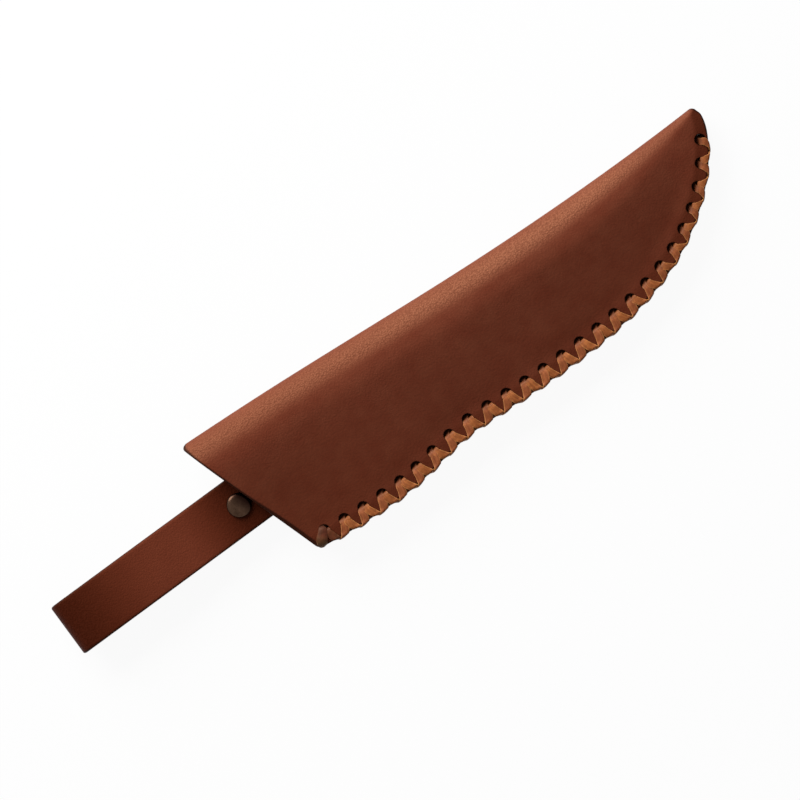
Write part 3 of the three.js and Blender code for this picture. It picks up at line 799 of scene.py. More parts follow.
def stitch_rings(start, end, toward, lift, near_tip):
    """Out of the front of a hole, over the edge, along the back and into the next hole."""
    slip = draw.uniform(-HAND_SLIP, HAND_SLIP, 3)
    wide = LACE_HALF * draw.uniform(*HAND_WIDTHS) * (1 - TIP_NARROW * near_tip)
    neck = LEG_NECK * (1 - NECK_NARROWS * TIP_NARROW * near_tip)
    neck_thick = LACE_THICK + NECK_SWELL
    tilt = UP + draw.uniform(-HAND_TILT, HAND_TILT) * start.along
    spread = LEG_SPREAD * lerp(1, TIP_SPREAD, near_tip)
    curve = lerp(LEG_CURVE, 1, near_tip)
    front_at = start.length + toward * (LEG_SIDE + spread) + slip[1]
    end_at = end.length - toward * LEG_SIDE
    back_at = lerp(front_at, end_at, EDGE_HEIGHT / (EDGE_HEIGHT + end.inset - LEG_OUT))
    crest = CREST_REACH * (1 - TIP_CREST * near_tip) + lift
    hang = LACE_DROOP + LACE_HANG * lift
    wrap = LACE_BOW + LACE_WRAP * lift
    lean = -toward * EDGE_TILT * start.along
    foot = EdgeFrame(front_at)
    heel = EdgeFrame(back_at)
    over = EdgeFrame((front_at + back_at) / 2)
    near = EdgeFrame(lerp(front_at, back_at, TURN_SHARE))
    far = EdgeFrame(lerp(front_at, back_at, 1 - TURN_SHARE))
    rim = start.at(toward * LEG_SIDE + slip[0], LEG_OUT, FRONT_LEVEL - NECK_SINK)
    sole = foot.at(0, crest - FOOT_TUCK, FRONT_LEVEL + FOOT_RISE * lift)
    turn_drop = TURN_DROP - TURN_RISE * lift
    near_turn = near.at(0, crest - TURN_TUCK, EDGE_HEIGHT - turn_drop)
    far_turn = far.at(0, crest - TURN_TUCK, turn_drop)
    back_sole = heel.at(0, crest - FOOT_TUCK, BACK_LEVEL - BACK_FOOT_RISE * lift)
    back_rim = end.at(-toward * LEG_SIDE, LEG_OUT, BACK_LEVEL + NECK_SINK)
    rows = strand_rings(start, toward, 1)
    rows.append(ring(rim, tilt - NECK_LEAN * start.out, neck, neck_thick, 0, 0, start))
    for share, skew in LEG_PLACES:
        place = lerp(rim, sole, share)
        place += toward * spread * (share**curve - share) * start.along
        place[2] = FRONT_LEVEL + LEG_RISE * share**2 * lift
        half = lerp(neck, wide, share)
        rows.append(ring(place, tilt, half, LACE_THICK, LEG_DROOP * share * hang, 0, foot, skew))
    rows += [
        ring(sole, UP + FOOT_LEAN * foot.out + lean, wide, LACE_THICK, hang, 0, foot, 1),
        ring(near_turn, near.out + UP + lean, wide, LACE_THICK, wrap, 0, near, 1),
        ring(over.at(slip[2], crest, EDGE_HEIGHT / 2), over.out, wide, LACE_THICK, wrap, 0, over, 1),
        ring(far_turn, far.out - UP - lean, wide, LACE_THICK, wrap, 0, far, 1),
        ring(back_sole, FOOT_LEAN * heel.out - UP - lean, wide, LACE_THICK, hang, 0, heel, 1),
    ]
    middle = lerp(back_sole, back_rim, 0.5)
    middle[2] = BACK_LEVEL - BACK_LEG_RISE * lift
    back_wide = BACK_LEG_WIDTH * wide
    rows.append(ring(middle, -UP, back_wide, LACE_THICK, BACK_LEG_DROOP, 0, heel, BACK_LEG_SKEW))
    rows.append(ring(back_rim, -NECK_LEAN * end.out - UP, neck, neck_thick, 0, 0, end))
    rows += strand_rings(end, toward, -1)[:0:-1]
    for row, shade in zip(rows, LEG_SHADES):
        row[HOME] = 0.0 if toward > 0 else 1.0
        row[SHADE] = shade + draw.uniform(-HAND_SHADE, HAND_SHADE) + slip[1] - TIP_SHADE * near_tip
    return rows


def tail_rings():
    """The end at the mouth, glued and burnt to a drop over the corner."""
    hole = HOLES[0]
    rows = strand_rings(hole, -1, 1)[:2]
    for along, out, rise, half, thick, steep in DROP_RINGS:
        place = hole.at(along, out, FRONT_LEVEL + rise)
        rows.append(ring(place, UP + steep * hole.out, half, thick, DROP_DROOP * thick, 0, hole))
    for k, row in enumerate(rows):
        row[BURNT] = lerp(DROP_BURNT, 1, ramp(k, *DROP_AMBER))
    return rows


def lace_route():
    """Rings of the whole lace: out to the tip, back over the first pass, and the burnt end."""
    out = []
    home = []
    for k in range(1, STITCHES + 1):
        near_tip = tip_share(k)
        lift = PASS_LIFT * lerp(1, TIP_LIFT, near_tip)
        out += stitch_rings(HOLES[k - 1], HOLES[k], 1, 0, near_tip)
        home = stitch_rings(HOLES[k], HOLES[k - 1], -1, lift, near_tip) + home
    for row in out[:START_RINGS]:
        row[BURNT] = START_BURNT
    last = HOLES[STITCHES]
    middle = last.at(-TIP_TURN_BACK, 0, EDGE_HEIGHT / 2)
    turn = ring(middle, -last.out, STRAND_HALF, 2 * STRAND_THICK, 0, 1, last)
    return np.array(out + [turn] + home[1:] + tail_rings())


def resampled(rows, step):
    """Smooth curve through rows of numbers whose first three are a place, at even steps along it."""
    gaps = np.linalg.norm(np.diff(rows[:, :3], axis=0), axis=1)
    keep = np.concatenate([[True], gaps > 1e-6])
    rows = rows[keep]
    span = np.linalg.norm(np.diff(rows[:, :3], axis=0), axis=1)
    s = np.concatenate([[0], np.cumsum(span)])
    rate = np.diff(rows, axis=0) / span[:, None]
    slope = np.empty_like(rows)
    slope[0] = rate[0]
    slope[-1] = rate[-1]
    before = span[:-1, None]
    after = span[1:, None]
    slope[1:-1] = (rate[:-1] * after + rate[1:] * before) / (before + after)
    at = np.linspace(0, s[-1], int(s[-1] / step))
    i = np.clip(np.searchsorted(s, at, side="right") - 1, 0, len(span) - 1)
    h = span[i][:, None]
    t = ((at - s[i]) / span[i])[:, None]
    curve = (2 * t**3 - 3 * t**2 + 1) * rows[i] + (t**3 - 2 * t**2 + t) * h * slope[i]
    curve += (3 * t**2 - 2 * t**3) * rows[i + 1] + (t**3 - t**2) * h * slope[i + 1]
    return at, curve


def lace_section():
    """Flat strip with crisp corners, as shares of the half width and half thickness."""
    top_half = 0.93
    corner = 0.985
    corner_height = 0.72
    crown = 0.04
    flat = np.linspace(top_half, -top_half, 9)
    under = flat[::-2]
    a = np.concatenate([[1.0, corner], flat, [-corner, -1.0, -corner], under, [corner]])
    top = 1 + crown - crown * flat**2
    sides = [corner_height, 0.0, -corner_height]
    b = np.concatenate([[0.0, corner_height], top, sides, 0 * under - 1, [-corner_height]])
    return a, b


def lace_mesh():
    at, rows = resampled(lace_route(), LACE_STEP)
    place = rows[:, :3]
    ahead = unit(np.gradient(place, axis=0))
    face = rows[:, 3:6] - np.sum(rows[:, 3:6] * ahead, axis=1, keepdims=True) * ahead
    face = unit(face)
    across = np.cross(ahead, face)
    across = lerp(across, -SKEW_WIDENS * unit(rows[:, EDGEWISE]), np.clip(rows[:, SKEW, None], 0, 1))
    face = unit(np.cross(across, ahead))
    a, b = lace_section()
    points = place[:, None] + (rows[:, HALF, None] * a)[:, :, None] * across[:, None]
    rise = rows[:, THICK, None] * b - rows[:, DROOP, None] * a**2
    points = points + rise[:, :, None] * face[:, None]
    count = len(a)
    faces = tube_faces(len(place), count)
    values = {"along": np.repeat(at, count), "across": np.tile(a, len(place))}
    for key, column in (("hole_shade", IN_HOLE_SHADE), ("burnt", BURNT), ("home", HOME)):
        values[key] = np.repeat(np.clip(rows[:, column], 0, 1), count)
    values["shade"] = np.repeat(rows[:, SHADE], count)
    return make_mesh("edge_lacing", points.reshape(-1, 3) + POUCH_ORIGIN, faces, values)


# Strap: one piece of leather, from the tongue in the mouth round the fold to the snap's stud


def strap_path():
    """Middle line of the leather as [s, z]: tongue, rise, front leg, fold and flap."""
    tongue = np.linspace(-TONGUE_LENGTH, RISE_FROM, 44)[:-1]
    t = np.linspace(0, 1, 42)[:-1]
    middle = (RISE_FROM + RISE_TO) / 2
    rise_s = (1 - t) ** 3 * RISE_FROM + 3 * (1 - t) * t * middle + t**3 * RISE_TO
    rise_z = lerp(TONGUE_LEVEL, LEG_LEVEL, smooth(t))
    fold_at = STRAP_REACH - FOLD_RADIUS
    leg = np.linspace(RISE_TO, fold_at, 22)[:-1]
    angle = np.linspace(np.pi / 2, -np.pi / 2, 41)
    across = FOLD_RADIUS - STRAP_LEATHER / 2
    tall = (LEG_LEVEL - FLAP_LEVEL) / 2
    fold_z = (LEG_LEVEL + FLAP_LEVEL) / 2 + tall * np.sin(angle)
    flap = np.linspace(fold_at, -FLAP_TAIL, 82)[1:]
    s = np.concatenate([tongue, rise_s, leg, fold_at + across * np.cos(angle), flap])
    z = np.concatenate([
        0 * tongue + TONGUE_LEVEL, rise_z, 0 * leg + LEG_LEVEL, fold_z, 0 * flap + FLAP_LEVEL,
    ])
    return np.stack([s, z], axis=1)


def strap_rows():
    """Places along the path: s, z, distance from the nearer end and share of the thickness."""
    path = strap_path()
    length = arc_lengths(path)
    clear = STRAP_CORNER + 0.5
    near, share = round_end(STRAP_ROUND)
    corner = np.linspace(near[-1], STRAP_CORNER, 9)[1:]
    rest = length[(length > clear) & (length < length[-1] - clear)]
    at = np.concatenate([near, corner, rest, (length[-1] - corner)[::-1], (length[-1] - near)[::-1]])
    full = np.ones(len(at))
    full[:len(near)] = share
    full[-len(near):] = share[::-1]
    s = np.interp(at, length, path[:, 0])
    z = np.interp(at, length, path[:, 1])
    return s, z, np.minimum(at, length[-1] - at), full


def strap_half(from_end):
    """Half width of the strap, less in its rounded corners."""
    cut = np.clip(STRAP_CORNER - from_end, 0, STRAP_CORNER)
    return STRAP_WIDTH / 2 - STRAP_CORNER + np.sqrt(STRAP_CORNER**2 - cut**2)


def painted_strap_shade(s):
    """Painted shade on the strap: darkest where it goes into the mouth under the front panel, and towards
    its fold, where it turns away from the light.
    """
    mouth = lerp(STRAP_MOUTH_SHADE, 1, ramp(s, *STRAP_MOUTH_SHADE_REACH))
    return mouth * lerp(1, STRAP_FOLD_SHADE, ramp(s, *STRAP_FOLD_SHADE_REACH))


def strap_mesh():
    s, z, from_end, full = strap_rows()
    ahead = unit(np.stack([np.gradient(s), np.gradient(z)], axis=1))
    normal = np.stack([-ahead[:, 1], ahead[:, 0]], axis=1)
    arc = np.radians(np.linspace(90, -90, 9))[1:-1]
    flat = np.linspace(-1, 1, 29)
    points = []
    edge = []
    flesh = []
    tone_and_shade = []
    for k in range(len(s)):
        half = strap_half(from_end[k])
        inside = half - STRAP_ROUND
        c = np.concatenate([
            inside * flat, inside + STRAP_ROUND * np.cos(arc), inside * flat[::-1],
            -inside - STRAP_ROUND * np.cos(arc[::-1]),
        ])
        n = np.concatenate([0 * flat + 1, np.sin(arc), 0 * flat - 1, np.sin(arc[::-1])])
        n = n * full[k] * STRAP_LEATHER / 2
        place = SNAP + np.outer(s[k] + n * normal[k, 0], STRAP_OUT) + np.outer(c, STRAP_ACROSS)
        place[:, 2] += z[k] + n * normal[k, 1]
        points.append(place)
        to_edge = np.minimum(half - np.abs(c), from_end[k])
        edge.append(STRAP_STAIN * ramp(to_edge, *STRAP_STAIN_REACH))
        inner = np.zeros(len(c))
        inner[len(flat) + len(arc):2 * len(flat) + len(arc)] = 1
        flesh.append(inner)
        tone_and_shade.append(np.full(len(c), painted_strap_shade(s[k])))
    faces = tube_faces(len(s), len(c))
    edge = np.concatenate(edge)
    values = {"edge": edge, "flesh": np.concatenate(flesh), "bend_sheen": 0 * edge, "tone_and_shade": np.concatenate(tone_and_shade)}
    return make_mesh("strap_leather", np.concatenate(points), faces, values)


# Turned metal pieces


def softened(profile, radius):
    """Profile with its corners rounded, over less than half of each side."""
    most = 0.45
    profile = [np.array(p, float) for p in profile]
    points = [profile[0]]
    for before, corner, after in zip(profile, profile[1:], profile[2:]):
        reach_in = min(radius, most * np.linalg.norm(corner - before))
        reach_out = min(radius, most * np.linalg.norm(after - corner))
        a = corner + unit(before - corner) * reach_in
        b = corner + unit(after - corner) * reach_out
        for t in np.linspace(0, 1, 5):
            points.append((1 - t) ** 2 * a + 2 * (1 - t) * t * corner + t * t * b)
    points.append(profile[-1])
    return np.array(points)


def turned_mesh(name, profile, s):
    """Revolves [radius, height] points about the upright through the strap's middle line at s.
    Its value for the painted dark reflection of the pouch grows towards the mouth's side."""
    turn = np.linspace(0, 2 * np.pi, ROUND_SIDES, endpoint=False)
    around = np.outer(np.cos(turn), STRAP_OUT) + np.outer(np.sin(turn), STRAP_ACROSS)
    centre = SNAP + s * STRAP_OUT
    points = []
    rings = []
    for r, z in profile:
        if r < 1e-6:
            rings.append([len(points)])
            points.append(centre + z * UP)
        else:
            rings.append(list(range(len(points), len(points) + ROUND_SIDES)))
            points.extend(centre + r * around + z * UP)
    points = np.array(points)
    pouch_reflection = (points - centre) @ (-STRAP_OUT - REFLECTION_TURN * STRAP_ACROSS) / CAP_RADIUS
    pouch_reflection = np.clip((pouch_reflection - REFLECTION_FROM) / (REFLECTION_TO - REFLECTION_FROM), 0, 1)
    faces = []
    for a, b in zip(rings, rings[1:]):
        for j in range(ROUND_SIDES):
            k = (j + 1) % ROUND_SIDES
            quad = [a[j % len(a)], a[k % len(a)], b[k % len(b)], b[j % len(b)]]
            face = list(dict.fromkeys(quad))
            if len(face) > 2:
                faces.append(face)
    if len(rings[0]) > 1 and np.allclose(profile[0], profile[-1]):
        first, last = rings[0], rings[-1]
        same = dict(zip(last, first))
        faces = [[same.get(i, i) for i in face] for face in faces]
    return make_mesh(name, points, faces, {"pouch_reflection": pouch_reflection})


def cap_profile():
    """Low dome that turns over quickly at its rim, on a short stem."""
    stem = 0.9
    stem_low = 1.5
    fullness = 2.7
    rim_in = 0.4
    rim_z = CAP_SEAT + 0.35
    stalk = softened([
        (stem, stem_low), (stem, CAP_SEAT), (CAP_RADIUS - rim_in, CAP_SEAT), (CAP_RADIUS, rim_z),
    ], HEAD_ROUND)
    rim_crowding = 0.7
    share = np.cos(np.linspace(0, np.pi / 2, 30)) ** rim_crowding
    share[-1] = 0
    dome_z = rim_z + (CAP_TOP - rim_z) * (1 - share**fullness) ** (1 / fullness)
    dome = np.stack([CAP_RADIUS * share, dome_z], axis=1)
    return np.concatenate([[(0, stem_low)], stalk[:-1], dome])


def socket_profile():
    """Cup round the spring ring, with a bore for the cap's stem and a lip under the ring."""
    bore = 1.2
    inside = 3.1
    outside = 3.7
    lip = 2.65
    lip_top = 0.3
    bottom = -0.2
    bevel = 0.3
    top = 2.24
    roof = top - 0.6
    return softened([
        (bore, top), (bore, roof), (inside, roof), (inside, lip_top), (lip, lip_top), (lip, bottom),
        (outside - bevel, bottom), (outside, bottom + bevel), (outside, top), (bore, top),
    ], SNAP_ROUND)


def stud_profile():
    """Flange on the flap, and a neck with a wider head that sits in the spring ring."""
    bore = 1.2
    flange = 3.3
    flange_top = -0.95
    bottom = -1.66
    neck = 1.7
    neck_low = -0.75
    neck_high = 0.5
    head = 2.1
    head_middle = 0.75
    crown = 1.9
    top = 1.2
    return softened([
        (bore, bottom), (flange, bottom), (flange, flange_top), (neck, neck_low), (neck, neck_high),
        (head, head_middle), (crown, top), (bore, top), (bore, bottom),
    ], SNAP_ROUND)


def post_profile():
    """Flat head under the flap, and a post up through the stud."""
    bottom = -4.5
    face = 3.1
    bevel = 3.4
    bevel_top = -4.2
    flank = 3.2
    head = 3.5
    seat = -3.72
    post = 1.0
    top = 1.0
    under = softened([(0, bottom), (face, bottom), (bevel, bevel_top)], HEAD_ROUND)
    shape = softened([(flank, bottom), (head, seat), (post, seat), (post, top)], SNAP_ROUND)
    return np.concatenate([[(0, bottom)], under[1:], shape[1:], [(0, top)]])


def rivet_profile():
    """Flat head behind the back panel, and a shank through panel and tongue."""
    bottom = -0.9
    face = 3.2
    seat = -0.03
    shank = 1.2
    top = 4.9
    shape = softened([
        (0, bottom), (face, bottom), (RIVET_RADIUS, seat), (shank, seat), (shank, top),
    ], RIVET_ROUND)
    return np.concatenate([shape, [(0, top)]])


def rivet_cap_profile():
    """Cap pressed over the shank, on the tongue."""
    bore = 1.3
    seat = 4.33
    shoulder = 3.3
    shoulder_top = 5.3
    top = 5.45
    roof = 5.0
    shape = softened([(bore, seat), (RIVET_RADIUS, seat), (shoulder, shoulder_top), (0, top)], RIVET_ROUND)
    return np.concatenate([[(bore, seat)], shape[1:-1], [(0, top), (0, roof), (bore, roof), (bore, seat)]])


def ring_wire():
    """Split spring ring that the stud clicks into."""
    split = math.radians(14)
    middle = 2.65
    half = 0.25
    level = 0.75
    turn = np.linspace(split, 2 * np.pi - split, 72)
    wire = np.linspace(0, 2 * np.pi, 12, endpoint=False)
    points = []
    for angle in turn:
        spoke = math.cos(angle) * STRAP_OUT + math.sin(angle) * STRAP_ACROSS
        reach = middle + half * np.cos(wire)
        points.append(SNAP + np.outer(reach, spoke) + np.outer(level + half * np.sin(wire), UP))
    return make_mesh("snap_spring", np.concatenate(points), tube_faces(len(turn), len(wire)))


# Materials


def srgb(red, green, blue):
    """Linear colour from sRGB numbers of 0 to 255."""
    shares = np.array([red, green, blue]) / 255
    linear = np.where(shares <= 0.04045, shares / 12.92, ((shares + 0.055) / 1.055) ** 2.4)
    return (*map(float, linear), 1.0)


class Finish:
    """A material or world, and short ways to add its nodes."""

    def __init__(self, owner, shader="Principled BSDF"):
        owner.use_nodes = True
        self.owner = owner
        self.tree = owner.node_tree
        self.shader = self.tree.nodes[shader]

    def node(self, kind, inputs=None, **settings):
        made = self.tree.nodes.new(kind)
        for key, value in settings.items():
            setattr(made, key, value)
        for key, value in (inputs or {}).items():
            self.feed(made.inputs[key], value)
        return made

    def feed(self, socket, value):
        if isinstance(value, bpy.types.NodeSocket):
            self.tree.links.new(value, socket)
        else:
            socket.default_value = value

    def place(self):
        return self.node("ShaderNodeTexCoord").outputs["Object"]

    def value(self, name):
        return self.node("ShaderNodeAttribute", attribute_name=name).outputs["Fac"]

    def noise(self, scale, detail=3.0, rough=0.55, where=None):
        inputs = {"Vector": where or self.place(), "Scale": scale, "Detail": detail, "Roughness": rough}
        return self.node("ShaderNodeTexNoise", inputs).outputs["Fac"]

    def cells(self, scale, where=None, feature="F1"):
        inputs = {"Vector": where or self.place(), "Scale": scale}
        return self.node("ShaderNodeTexVoronoi", inputs, feature=feature).outputs["Distance"]

    def span(self, value, low, high, to_low=0.0, to_high=1.0):
        inputs = {"Value": value, 1: low, 2: high, 3: to_low, 4: to_high}
        return self.node("ShaderNodeMapRange", inputs).outputs["Result"]

    def mix(self, share, a, b, blend="MIX"):
        made = self.node("ShaderNodeMix", data_type="RGBA", blend_type=blend)
        self.feed(made.inputs["Factor"], share)
        self.feed(made.inputs[6], a)
        self.feed(made.inputs[7], b)
        return made.outputs[2]

    def math(self, operation, a, b=0.0):
        return self.node("ShaderNodeMath", {0: a, 1: b}, operation=operation).outputs["Value"]

    def times(self, a, b):
        return self.math("MULTIPLY", a, b)

    def deepened(self, tone_and_shade):
        """Tone as a colour: the darker it is, the redder."""
        green = self.math("POWER", tone_and_shade, 1.25)
        blue = self.math("POWER", tone_and_shade, 1.5)
        inputs = {"Red": tone_and_shade, "Green": green, "Blue": blue}
        return self.node("ShaderNodeCombineColor", inputs).outputs["Color"]

    def bump(self, height, strength, distance, under=None):
        inputs = {"Height": height, "Strength": strength, "Distance": distance}
        if under:
            inputs["Normal"] = under
        return self.node("ShaderNodeBump", inputs).outputs["Normal"]

    def set(self, **inputs):
        for key, value in inputs.items():
            self.feed(self.shader.inputs[key.replace("_", " ")], value)
        return self.owner


def leather_finish(name, colour, dark, warm):
    """Smooth dyed leather: clouded colour, pebbled grain, dark burnished edges and a pale flesh side."""
    f = Finish(bpy.data.materials.new(name))
    pore = srgb(40, 17, 10)
    burnished = srgb(34, 15, 10)
    suede = (srgb(96, 54, 36), srgb(132, 82, 58))
    cloud = f.span(f.noise(24.0, 4.0), 0.3, 0.7)
    patch = f.span(f.noise(150.0, 3.0), 0.3, 0.7)
    warp = f.node("ShaderNodeTexNoise", {"Vector": f.place(), "Scale": 700.0, "Detail": 2.0})
    bent = f.mix(0.0006, f.place(), warp.outputs["Color"], "ADD")
    pebble = f.cells(1450.0, bent)
    fine = f.noise(3000.0, 2.0)
    fibre = f.noise(900.0, 5.0, 0.7)
    wall = HOLE_NEAR - HOLE_RADIUS
    # The hole walls take the dark of the burnished cut edges, which also paints the shade inside the holes
    edge = f.math("MAXIMUM", f.value("edge"), f.span(f.value("hole"), wall - 0.3, wall - 0.05))
    flesh = f.value("flesh")
    bend_sheen = f.value("bend_sheen")
    base = f.mix(f.times(cloud, 0.45), colour, dark)
    base = f.mix(f.times(patch, 0.08), base, warm)
    # Painted sheen: the light's highlight along the spine's roll, with paler stretched leather
    base = f.mix(f.times(bend_sheen, 0.55), base, warm)
    # Painted shade from this value: beside the lace, and on the strap at the mouth and towards the fold;
    # elsewhere the leather's own tone
    base = f.mix(1.0, base, f.deepened(f.value("tone_and_shade")), "MULTIPLY")
    pits = f.times(f.span(pebble, 0.3, 0.7), f.span(bend_sheen, 0.0, 0.7, 0.16, 0.4))
    base = f.mix(pits, base, dark)
    base = f.mix(f.span(fine, 0.34, 0.6, 0.16, 0.0), base, pore)
    base = f.mix(flesh, base, f.mix(f.span(fibre, 0.3, 0.7), *suede))
    base = f.mix(f.times(edge, 0.9), base, burnished)
    rough = f.span(f.noise(500.0, 3.0), 0.3, 0.7, 0.42, 0.54)
    rough = f.math("ADD", rough, f.times(flesh, 0.35))
    rough = f.math("SUBTRACT", rough, f.times(edge, 0.1))
    height = f.math("SUBTRACT", f.times(fine, 0.4), pebble)
    height = f.math("ADD", height, f.times(f.times(fibre, flesh), 1.6))
    normal = f.bump(height, f.span(bend_sheen, 0.0, 0.7, 0.3, 0.8), 0.00024)
    f.set(Specular_IOR_Level=0.05, Specular_Tint=(1.0, 0.52, 0.27, 1.0))
    return f.set(Base_Color=base, Roughness=rough, Normal=normal)


def lace_finish():
    """Waxed tan lace: streaks along it, paler cut edges, and a burnt end."""
    f = Finish(bpy.data.materials.new("lace"))
    grain_side = (srgb(122, 64, 35), srgb(192, 116, 63))
    flesh_side = (srgb(116, 59, 36), srgb(174, 100, 63))
    patched = srgb(122, 66, 44)
    cut_edge = srgb(200, 142, 84)
    worn = srgb(96, 50, 28)
    hole_shade_colour = srgb(60, 26, 14)
    scorch = (srgb(48, 17, 11), srgb(78, 34, 23))
    resin = (srgb(70, 42, 24), srgb(100, 68, 38))
    along = f.times(f.value("along"), 0.12)
    across = f.times(f.value("across"), 1.3)
    where = f.node("ShaderNodeCombineXYZ", {"X": along, "Y": across}).outputs["Vector"]
    streak = f.span(f.noise(1.7, 4.0, 0.62, where), 0.22, 0.78)
    thread = f.noise(4.5, 3.0, 0.6, where)
    patch = f.span(f.noise(260.0, 3.0), 0.35, 0.65)
    side = f.math("ABSOLUTE", f.value("across"))
    home = f.times(f.value("home"), 0.7)
    base = f.mix(home, f.mix(streak, *grain_side), f.mix(streak, *flesh_side))
    base = f.mix(f.times(patch, 0.25), base, patched)
    light = f.span(f.value("shade"), -1.2, 1.0, 0.5, 1.2)
    base = f.mix(1.0, base, f.deepened(light), "MULTIPLY")
    base = f.mix(f.span(side, 0.8, 0.95, 0.0, 0.45), base, cut_edge)
    base = f.mix(f.span(f.noise(1500.0, 3.0), 0.5, 0.75, 0.0, 0.35), base, worn)
    # Painted shade inside the holes and on the lace's lip
    base = f.mix(f.times(f.value("hole_shade"), 0.92), base, hole_shade_colour)
    scorched = f.mix(f.span(f.noise(420.0, 3.0), 0.35, 0.65), *scorch)
    amber = f.mix(f.span(f.noise(380.0, 3.0), 0.35, 0.65), *resin)
    burnt = f.value("burnt")
    base = f.mix(f.span(burnt, 0.0, 0.45, 0.0, 0.92), base, scorched)
    base = f.mix(f.span(burnt, 0.5, 1.0, 0.0, 0.9), base, amber)
    rough = f.span(f.noise(420.0, 3.0), 0.3, 0.7, 0.44, 0.58)
    height = f.math("ADD", thread, f.times(f.noise(2200.0, 3.0), 0.5))
    normal = f.bump(height, 0.35, 0.00014)
    f.set(Specular_IOR_Level=0.16, Specular_Tint=(1.0, 0.8, 0.6, 1.0))
    return f.set(Base_Color=base, Roughness=rough, Normal=normal)


def bronze_finish():
    """Dark antique bronze, a little rubbed on its rims, with a painted dark reflection of the pouch on the
    side towards the mouth.
    """
    f = Finish(bpy.data.materials.new("antique_bronze"))
    tarnished = (srgb(54, 38, 28), srgb(74, 55, 43))
    specked = srgb(32, 23, 17)
    rubbed = srgb(80, 66, 56)
    reflected_pouch = srgb(24, 10, 8)
    tarnish = f.span(f.noise(420.0, 5.0, 0.65), 0.32, 0.68)
    speck = f.span(f.noise(2600.0, 3.0), 0.55, 0.72)
    geometry = f.node("ShaderNodeNewGeometry")
    worn = f.span(geometry.outputs["Pointiness"], 0.505, 0.56)
    base = f.mix(tarnish, *tarnished)
    base = f.mix(f.times(speck, 0.5), base, specked)
    base = f.mix(f.times(worn, 0.12), base, rubbed)
    # Painted dark reflection of the pouch on the side towards the mouth
    base = f.mix(f.times(f.value("pouch_reflection"), 0.9), base, reflected_pouch)
    rough = f.span(tarnish, 0.0, 1.0, 0.32, 0.22)
    normal = f.bump(f.noise(1800.0, 3.0), 0.12, 0.00005)
    return f.set(Base_Color=base, Metallic=1.0, Roughness=rough, Normal=normal)


def steel_finish():
    """Plain drawn wire."""
    f = Finish(bpy.data.materials.new("spring_steel"))
    drawn = f.span(f.noise(900.0, 4.0), 0.3, 0.7)
    base = f.mix(drawn, srgb(150, 146, 140), srgb(190, 186, 178))
    return f.set(Base_Color=base, Metallic=1.0, Roughness=f.span(drawn, 0.0, 1.0, 0.3, 0.42))


# Stage: a pale floor that touches the part, white round it, and soft light from the spine's side


def seen_white(f):
    """1 for rays from the camera, in gloss or through glass, and 0 for the rest."""
    path = f.node("ShaderNodeLightPath")
    seen = f.math("MAXIMUM", path.outputs["Is Camera Ray"], path.outputs["Is Glossy Ray"])
    return f.math("MAXIMUM", seen, path.outputs["Is Transmission Ray"])


def floor_finish():
    """Pale floor that is seen nearly white and keeps some of the part's shadow."""
    f = Finish(bpy.data.materials.new("pale_floor"))
    white_share = 0.94
    f.set(Base_Color=(0.82, 0.82, 0.82, 1), Roughness=0.9, Specular_IOR_Level=0.0)
    glow = f.node("ShaderNodeEmission", {"Color": (1, 1, 1, 1), "Strength": 1.0})
    share = f.times(seen_white(f), white_share)
    both = f.node("ShaderNodeMixShader", {0: share, 1: f.shader.outputs[0], 2: glow.outputs[0]})
    f.feed(f.tree.nodes["Material Output"].inputs["Surface"], both.outputs[0])
    return f.owner


def lowest_slope(pieces, start):
    """Slope along x of the floor that leaves start and just touches the pieces beyond it."""
    steepest = 1.0
    clear = 0.05
    slope = steepest
    for made in pieces:
        for v in made.data.vertices:
            if v.co.x > start[0] + clear:
                slope = min(slope, (v.co.z - start[2]) / (v.co.x - start[0]))
    return slope


def stage_floor(pieces, start):
    slope = lowest_slope(pieces, start)
    reach = 4.0
    corners = []
    for x, y in ((-reach, -reach), (reach, -reach), (reach, reach), (-reach, reach)):
        corners.append((x, y, start[2] + slope * (x - start[0])))
    mesh = bpy.data.meshes.new("floor")
    mesh.from_pydata(corners, [], [(0, 1, 2, 3)])
    mesh.materials.append(floor_finish())
    floor = linked("floor", mesh)


def stage_world(level):
    """White where it is seen, and a softer light elsewhere."""
    f = Finish(bpy.data.worlds.new("studio"), "Background")
    strength = f.span(seen_white(f), 0.0, 1.0, level, 1.0)
    bpy.context.scene.world = f.set(Color=(1, 1, 1, 1), Strength=strength)


def softbox(name, azimuth, elevation, distance, size, power):
    """Area lamp aimed at the middle of the part."""
    lamp = bpy.data.lights.new(name, "AREA")
    lamp.shape = "RECTANGLE"
    lamp.size, lamp.size_y = size
    lamp.energy = power
    made = linked(name, lamp)
    a = math.radians(azimuth)
    e = math.radians(elevation)
    level = distance * math.cos(e)
    made.location = (level * math.sin(a), level * math.cos(a), distance * math.sin(e))
    made.rotation_mode = "QUATERNION"
    made.rotation_quaternion = (-made.location).to_track_quat("-Z", "Y")


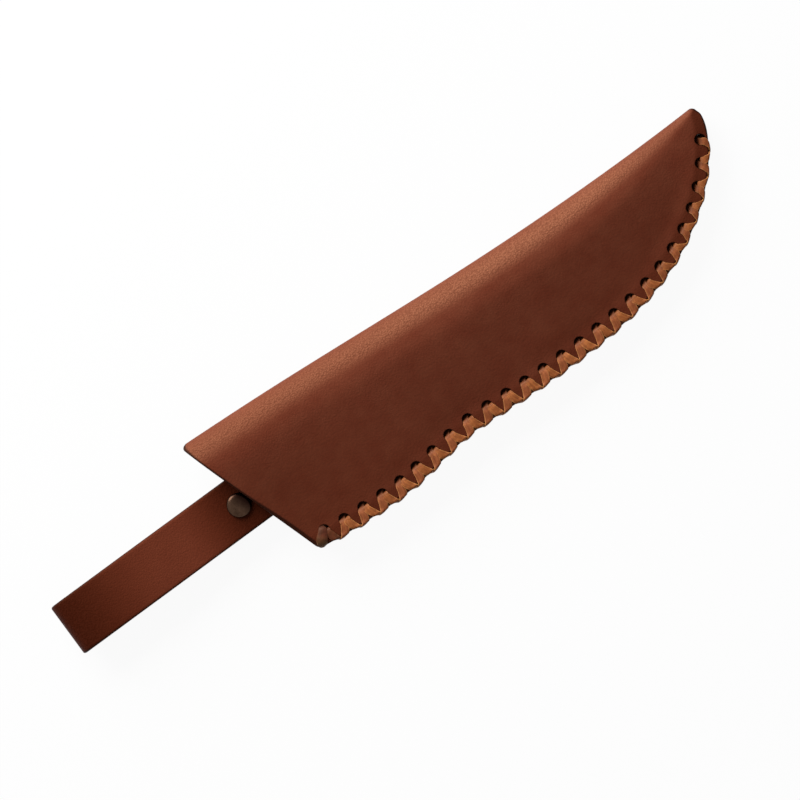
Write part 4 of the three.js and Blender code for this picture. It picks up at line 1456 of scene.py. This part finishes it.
def main_camera():
    """Looks straight down, turned so that the sheath rises to the right."""
    lens = 100.0
    sensor = 36.0
    view_width = 0.2856
    aim = (-0.0001, 0.00097, 0.0095)
    turn = -33.46
    camera = bpy.data.cameras.new("camera")
    camera.lens = lens
    camera.sensor_width = sensor
    made = linked("camera", camera)
    made.location = (aim[0], aim[1], aim[2] + view_width * lens / sensor)
    made.rotation_euler = (0, 0, math.radians(turn))
    bpy.context.scene.camera = made


# Put together

pouch_look = leather_finish("sheath_leather", srgb(107, 51, 35), srgb(90, 41, 27), srgb(168, 108, 79))
strap_look = leather_finish("strap_leather", srgb(106, 50, 33), srgb(94, 42, 27), srgb(140, 76, 52))
welt_look = leather_finish("welt_leather", srgb(84, 40, 26), srgb(66, 30, 20), srgb(100, 52, 34))
bronze = bronze_finish()

pouch_mesh = punched(*pouch_blank())
pouch = put("sheath_leather", pouch_mesh, pouch_look, ["sheath_body"], "sheath")
put("welt_leather", punched(*welt_blank()), welt_look, ["welt_strip"], "sheath")
lace = put("edge_lacing", lace_mesh(), lace_finish(), ["edge_lace"], "sheath", 38)

strap = put("strap_leather", strap_mesh(), strap_look, ["belt_strap", "strap_flap"])
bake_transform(strap)

metal = [
    ("snap_dome", cap_profile(), 0.0, "snap_cap", "sheath"),
    ("snap_cup", socket_profile(), 0.0, "snap_socket", "sheath"),
    ("snap_button", stud_profile(), 0.0, "snap_stud", "flap"),
    ("snap_pin", post_profile(), 0.0, "snap_post", "flap"),
]
for k, place in enumerate(RIVET_PLACES, 1):
    metal.append((f"rivet_{k}", rivet_profile(), place, f"anchor_rivet_{k}", "sheath"))
    metal.append((f"rivet_{k}_head", rivet_cap_profile(), place, f"anchor_rivet_{k}_cap", "sheath"))
for name, profile, place, node, body in metal:
    put(name, turned_mesh(name, profile, place), bronze, [node], body, 50)
put("snap_spring", ring_wire(), steel_finish(), ["snap_spring_ring"], "sheath", 50)

post_low, post_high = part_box("snap_post")
stage_floor([pouch, lace], ((post_low.x + post_high.x) / 2, 0.0, post_low.z))
stage_world(level=0.22)
softbox("key", azimuth=-11, elevation=27, distance=1.2, size=(1.1, 0.8), power=30.0)
main_camera()
bpy.context.scene.view_settings.view_transform = "Standard"
